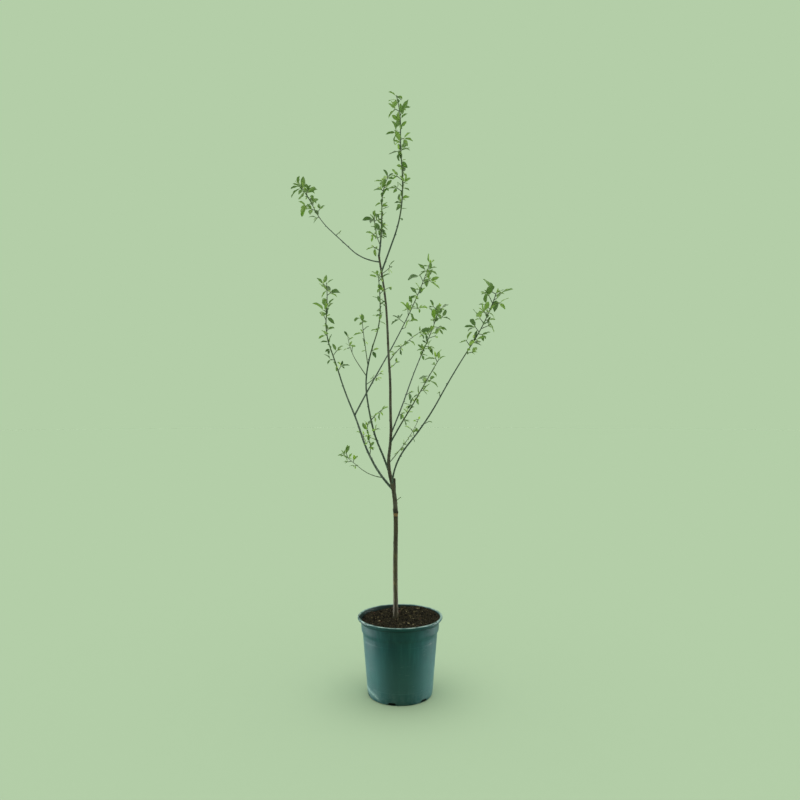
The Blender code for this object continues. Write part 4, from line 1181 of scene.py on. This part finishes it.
def notch_cutter(turn):
    """Arched block that cuts one notch in the foot of the pot."""
    out = np.array((math.cos(turn), math.sin(turn), 0.0))
    side = np.array((-math.sin(turn), math.cos(turn), 0.0))
    arch = []
    for share in np.linspace(0, 1, 17):
        across_notch = -NOTCH_WIDTH / 2 + NOTCH_WIDTH * share
        # The arch starts at the sill, so a thin sill stays in the notch to carry painted shade
        rise = (NOTCH_HEIGHT - NOTCH_SILL) * (1 - abs(2 * share - 1) ** 8)
        arch.append((across_notch, NOTCH_SILL + rise))
    count = len(arch)
    corners = []
    for radius in (FOOT_RADIUS - NOTCH_DEPTH, LIP_RADIUS):
        corners += [out * radius + side * sideways + np.array((0, 0, up)) for sideways, up in arch]
    faces = [tuple(range(count)), tuple(reversed(range(count, 2 * count)))]
    for corner in range(count):
        following = (corner + 1) % count
        faces.append((corner, count + corner, count + following, following))
    return turned_out("notch", corners, faces)


def turned_out(name, corners, faces):
    """Mesh object of these corners and faces, with its faces pointing out."""
    mesh = bpy.data.meshes.new(name)
    mesh.from_pydata([tuple(corner) for corner in corners], [], faces)
    shape = bmesh.new()
    shape.from_mesh(mesh)
    bmesh.ops.recalc_face_normals(shape, faces=shape.faces)
    shape.to_mesh(mesh)
    shape.free()
    made = bpy.data.objects.new(name, mesh)
    bpy.context.scene.collection.objects.link(made)
    return made


def make_pot():
    """Thin-walled round pot with a thick lip, a collar, fine mould lines and notches round its foot."""
    pot = turned_out("pot_moulded", *lathe(pot_profile(), POT_SEGMENTS, out_of_round))
    cutters = []
    for notch in range(NOTCHES):
        cutter = notch_cutter(math.radians(NOTCH_TURN + notch * 360 / NOTCHES))
        cut = pot.modifiers.new("notch", "BOOLEAN")
        cut.operation = "DIFFERENCE"
        cut.object = cutter
        cutters.append(cutter)
    graph = bpy.context.evaluated_depsgraph_get()
    pot.data = bpy.data.meshes.new_from_object(pot.evaluated_get(graph))
    pot.modifiers.clear()
    for cutter in cutters:
        bpy.data.objects.remove(cutter)
    pot.data.materials.clear()
    pot.data.materials.append(pot_material())
    pot.data.shade_smooth()
    pot.data.set_sharp_from_angle(angle=math.radians(35))
    settle(pot, ["pot"])


def soil_height():
    """Height of the compost at a place: a gentle rise, waves, a low heap and a seat under the trunk."""
    random = Random(SOIL_SEED)
    waves = [(random.uniform(-SOIL_WAVE_NUMBER, SOIL_WAVE_NUMBER),
              random.uniform(-SOIL_WAVE_NUMBER, SOIL_WAVE_NUMBER),
              random.uniform(0, 2 * math.pi)) for _ in range(SOIL_WAVES)]

    def height_at(x, y):
        lumps = sum(math.sin(x * to_right + y * to_back + phase) for to_right, to_back, phase in waves)
        height = SOIL_LEVEL + SOIL_RISE * x + SOIL_WAVE_HEIGHT * lumps
        away = math.hypot(x - TRUNK_FOOT[0], y - TRUNK_FOOT[1])
        blend = min(1.0, max(0.0, (away - SEAT_RADIUS) / SEAT_EDGE))
        height += SOIL_HEAP * math.exp(-(math.dist((x, y), SOIL_HEAP_PLACE) / SOIL_HEAP_REACH) ** 2)
        rough = SOIL_ROUGHNESS * noise.fractal(Vector((x * SOIL_LUMPS, y * SOIL_LUMPS, 0.0)), 0.7, 2.0, 5)
        return SEAT_LEVEL + (height - SEAT_LEVEL) * blend + rough * (0.4 + 0.6 * blend)

    return height_at


def make_soil(height_at):
    """Body of compost from the pot's floor up to a rough surface that meets the wall all round."""
    inside = [(0.0, POT_FLOOR + GAP), (inner_radius(POT_FLOOR) - GAP, POT_FLOOR + GAP)]
    for height in (FOOT_BAND_HEIGHT, WALL_TOP_HEIGHT, COLLAR_FOOT_HEIGHT):
        inside.append((inner_radius(height) - GAP, height))
    corners, faces = lathe(inside, POT_SEGMENTS, out_of_round)
    low = len(corners) - POT_SEGMENTS
    rings = [[], []]
    for segment in range(POT_SEGMENTS):
        turn = 2 * math.pi * segment / POT_SEGMENTS
        out = np.array((math.cos(turn), math.sin(turn), 0.0))
        level = out * inner_radius(SOIL_LEVEL)
        height = min(height_at(level[0], level[1]), POT_HEIGHT)
        for ring, top in zip(rings, (min(LIP_FOOT_HEIGHT, height - SOIL_SHOULDER), height)):
            ring.append(out * (inner_radius(top) + out_of_round(turn, top) - GAP) + (0, 0, top))
    foot = np.array(TRUNK_FOOT)
    edges = rings[1]
    for share in np.linspace(1, 0, SOIL_SURFACE_RINGS)[1:-1]:
        ring = [foot + (edge - foot) * share for edge in edges]
        rings.append([(x, y, height_at(x, y)) for x, y, z in ring])
    for ring in rings:
        corners.extend(ring)
        for segment in range(POT_SEGMENTS):
            following = (segment + 1) % POT_SEGMENTS
            faces.append((low + segment, low + following,
                          low + POT_SEGMENTS + following, low + POT_SEGMENTS + segment))
        low += POT_SEGMENTS
    faces.append(tuple(range(low, low + POT_SEGMENTS)))
    soil = turned_out("soil_bed", corners, faces)
    soil.data.materials.append(soil_material())
    soil.data.shade_smooth()
    settle(soil, ["soil"])


def ball():
    """Corners and faces of a regular body with twenty sides, one unit in radius."""
    shape = bmesh.new()
    bmesh.ops.create_icosphere(shape, subdivisions=1, radius=1.0)
    corners = np.array([tuple(vert.co) for vert in shape.verts])
    faces = [tuple(vert.index for vert in face.verts) for face in shape.faces]
    shape.free()
    return corners, faces


def crumb_shape(random, size, corners):
    """Lumpy crumb about the origin, as corners of a twenty-sided body pushed in and out."""
    stretch = np.array([random.uniform(0.6, 1.3) for _ in range(3)])
    jitter = np.array([random.uniform(0.7, 1.25) for _ in range(len(corners))])[:, None]
    lump = corners * jitter * stretch * size
    turn = random.uniform(0, 2 * math.pi)
    tip = random.uniform(-0.9, 0.9)
    spin = np.array(((math.cos(turn), -math.sin(turn), 0), (math.sin(turn), math.cos(turn), 0), (0, 0, 1)))
    roll = np.array(((1, 0, 0), (0, math.cos(tip), -math.sin(tip)), (0, math.sin(tip), math.cos(tip))))
    return lump @ roll.T @ spin.T


def scatter_spot(random, rim):
    """Even random place on the compost, clear of the trunk's foot."""
    while True:
        turn = random.uniform(0, 2 * math.pi)
        radius = rim * math.sqrt(random.random())
        x, y = radius * math.cos(turn), radius * math.sin(turn)
        if math.hypot(x - TRUNK_FOOT[0], y - TRUNK_FOOT[1]) > TRUNK_GIRTH[0][1] + 0.0015:
            return x, y


def make_crumbs(height_at):
    """Loose crumbs on the compost in a few tones, and some on the rim."""
    corners, faces = ball()
    random = Random(SOIL_SEED + 1)
    rim = inner_radius(SOIL_LEVEL) - GAP - OUT_OF_ROUND
    piles = {tone: Pile() for tone in CRUMB_TONES}
    tones = list(CRUMB_TONES)
    shares = [CRUMB_TONES[tone][0] for tone in tones]
    for _ in range(CRUMBS):
        size = random.uniform(*CRUMB_SIZES) / 2
        if random.random() < LARGE_CRUMB_SHARE:
            size *= LARGE_CRUMB_GROWTH
        x, y = scatter_spot(random, rim - size * 1.3)
        spot = np.array((x, y, height_at(x, y) + size * random.uniform(-0.2, 0.5)))
        tone = random.choices(tones, shares)[0]
        piles[tone].add(crumb_shape(random, size, corners) + spot, faces)
    for _ in range(RIM_CRUMBS):
        size = random.uniform(*CRUMB_SIZES) / 2
        turn = math.radians(random.uniform(*RIM_CRUMB_TURNS))
        radius = random.uniform(MOUTH_RADIUS, LIP_RADIUS - size)
        spot = np.array((radius * math.cos(turn), radius * math.sin(turn), POT_HEIGHT + size * 0.3))
        piles[tones[0]].add(crumb_shape(random, size, corners) + spot, faces)
    for tone, pile in piles.items():
        material = grit_material("compost_" + tone, CRUMB_TONES[tone][1], 0.9)
        crumbs = pile.piece("crumbs_" + tone, "compost", [material], ["soil"])
        crumbs.data.shade_flat()


def make_straws(height_at):
    """Chips and straws that lie across the crumbs, and one broad pale chip at the left."""
    random = Random(SOIL_SEED + 2)
    rim = inner_radius(SOIL_LEVEL) - GAP - OUT_OF_ROUND
    pile = Pile()
    for number in range(STRAWS):
        length = random.uniform(*STRAW_LENGTHS)
        half = length * random.uniform(0.04, 0.13)
        x, y = scatter_spot(random, rim - length)
        turn = random.uniform(0, 2 * math.pi)
        if number == 0:
            x, y = CHIP_PLACE
            length, half, turn = CHIP_LENGTH, CHIP_LENGTH * 0.2, CHIP_TURN
        way = np.array((math.cos(turn), math.sin(turn), random.uniform(-0.15, 0.25)))
        side = np.array((-math.sin(turn), math.cos(turn), random.uniform(-0.3, 0.3)))
        start = np.array((x, y, height_at(x, y) + CRUMB_SIZES[1] * 0.45))
        shares = np.linspace(-0.5, 0.5, 6)
        bow = random.uniform(-0.12, 0.12)
        corners = []
        for share in shares:
            middle = start + way * length * share + side * length * bow * (share ** 2 - 0.25)
            width = half * (1 - 0.7 * abs(2 * share) ** 3)
            for out, up in ((-1, 0), (0, 0.45), (1, 0), (0, -0.45)):
                corners.append(middle + side * width * out + np.array((0, 0, width * up)))
        faces = [(0, 3, 2, 1), tuple(len(corners) - 4 + corner for corner in range(4))]
        for low in range(0, len(corners) - 4, 4):
            faces += [(low + corner, low + (corner + 1) % 4, low + 4 + (corner + 1) % 4, low + 4 + corner)
                      for corner in range(4)]
        pile.add(corners, faces, number % 3)
    tones = [grit_material("chip_" + str(number), tone, 0.8) for number, tone in enumerate(CHIP_TONES)]
    pile.piece("chips", "compost", tones, ["soil"])


def make_light(name, spot, target, width, height, cone, power, unlit):
    """Soft rectangular lamp that looks at a target and leaves the unlit objects out."""
    lamp = bpy.data.lights.new(name, "AREA")
    lamp.shape = "RECTANGLE"
    lamp.size = width
    lamp.size_y = height
    lamp.spread = math.radians(cone)
    lamp.energy = power
    made = bpy.data.objects.new(name, lamp)
    made.light_linking.receiver_collection = unlit
    made.location = spot
    made.rotation_euler = (Vector(target) - Vector(spot)).to_track_quat("-Z", "Y").to_euler()
    made.visible_camera = False
    bpy.context.scene.collection.objects.link(made)


def make_camera():
    """The photo's view: level, on the plant's left-right middle."""
    camera = bpy.data.cameras.new("view")
    camera.sensor_width = SENSOR
    camera.lens = SENSOR * FOCAL_PIXELS / PICTURE
    camera.shift_y = (HORIZON_ROW - PICTURE / 2) / PICTURE
    made = bpy.data.objects.new("view", camera)
    made.location = CAMERA_PLACE
    made.rotation_euler = (math.pi / 2, 0, 0)
    bpy.context.scene.collection.objects.link(made)
    bpy.context.scene.camera = made


def make_stage():
    """Pale floor under a pale sky that is brighter overhead, with soft lamps at both sides, high and low."""
    corners, faces = lathe([(0.0, 0.0), (0.5, 0.0), (2.0, 0.0), (STAGE_RADIUS, 0.0)], 96)
    stage = turned_out("stage_floor", corners, faces)
    stage.location = (0, 0, -STAGE_DROP)
    stage.data.materials.append(floor_material())
    world = bpy.data.worlds.new("studio")
    world.use_nodes = True
    tree = world.node_tree
    way = add(tree, "ShaderNodeTexCoord", {}).outputs["Generated"]
    rise = add(tree, "ShaderNodeSeparateXYZ", {0: way}).outputs[2]
    share = spread(tree, rise, SKY_BREAK, 1.0)
    sky = tree.nodes["Background"]
    tree.links.new(mixed(tree, share, SKY_LOW, SKY_HIGH), sky.inputs["Color"])
    bpy.context.scene.world = world
    bpy.context.scene.view_settings.view_transform = "Standard"
    unlit = bpy.data.collections.new("unlit")
    unlit.objects.link(stage)
    unlit.collection_objects[0].light_linking.link_state = "EXCLUDE"
    for row in LAMPS:
        make_light(*row, unlit)


def main():
    make_camera()
    courses = lay_out()
    bark, stems = split_up(courses)
    crowns = {name: grow(mass, courses, space_of(name, bark, stems)) for name, mass in MASSES.items()}
    make_pot()
    height_at = soil_height()
    make_soil(height_at)
    make_crumbs(height_at)
    make_straws(height_at)
    trunk_wood(courses)
    bough_wood(courses)
    twig_wood(courses, crowns)
    foliage(crowns, bark, stems)
    make_stage()


main()
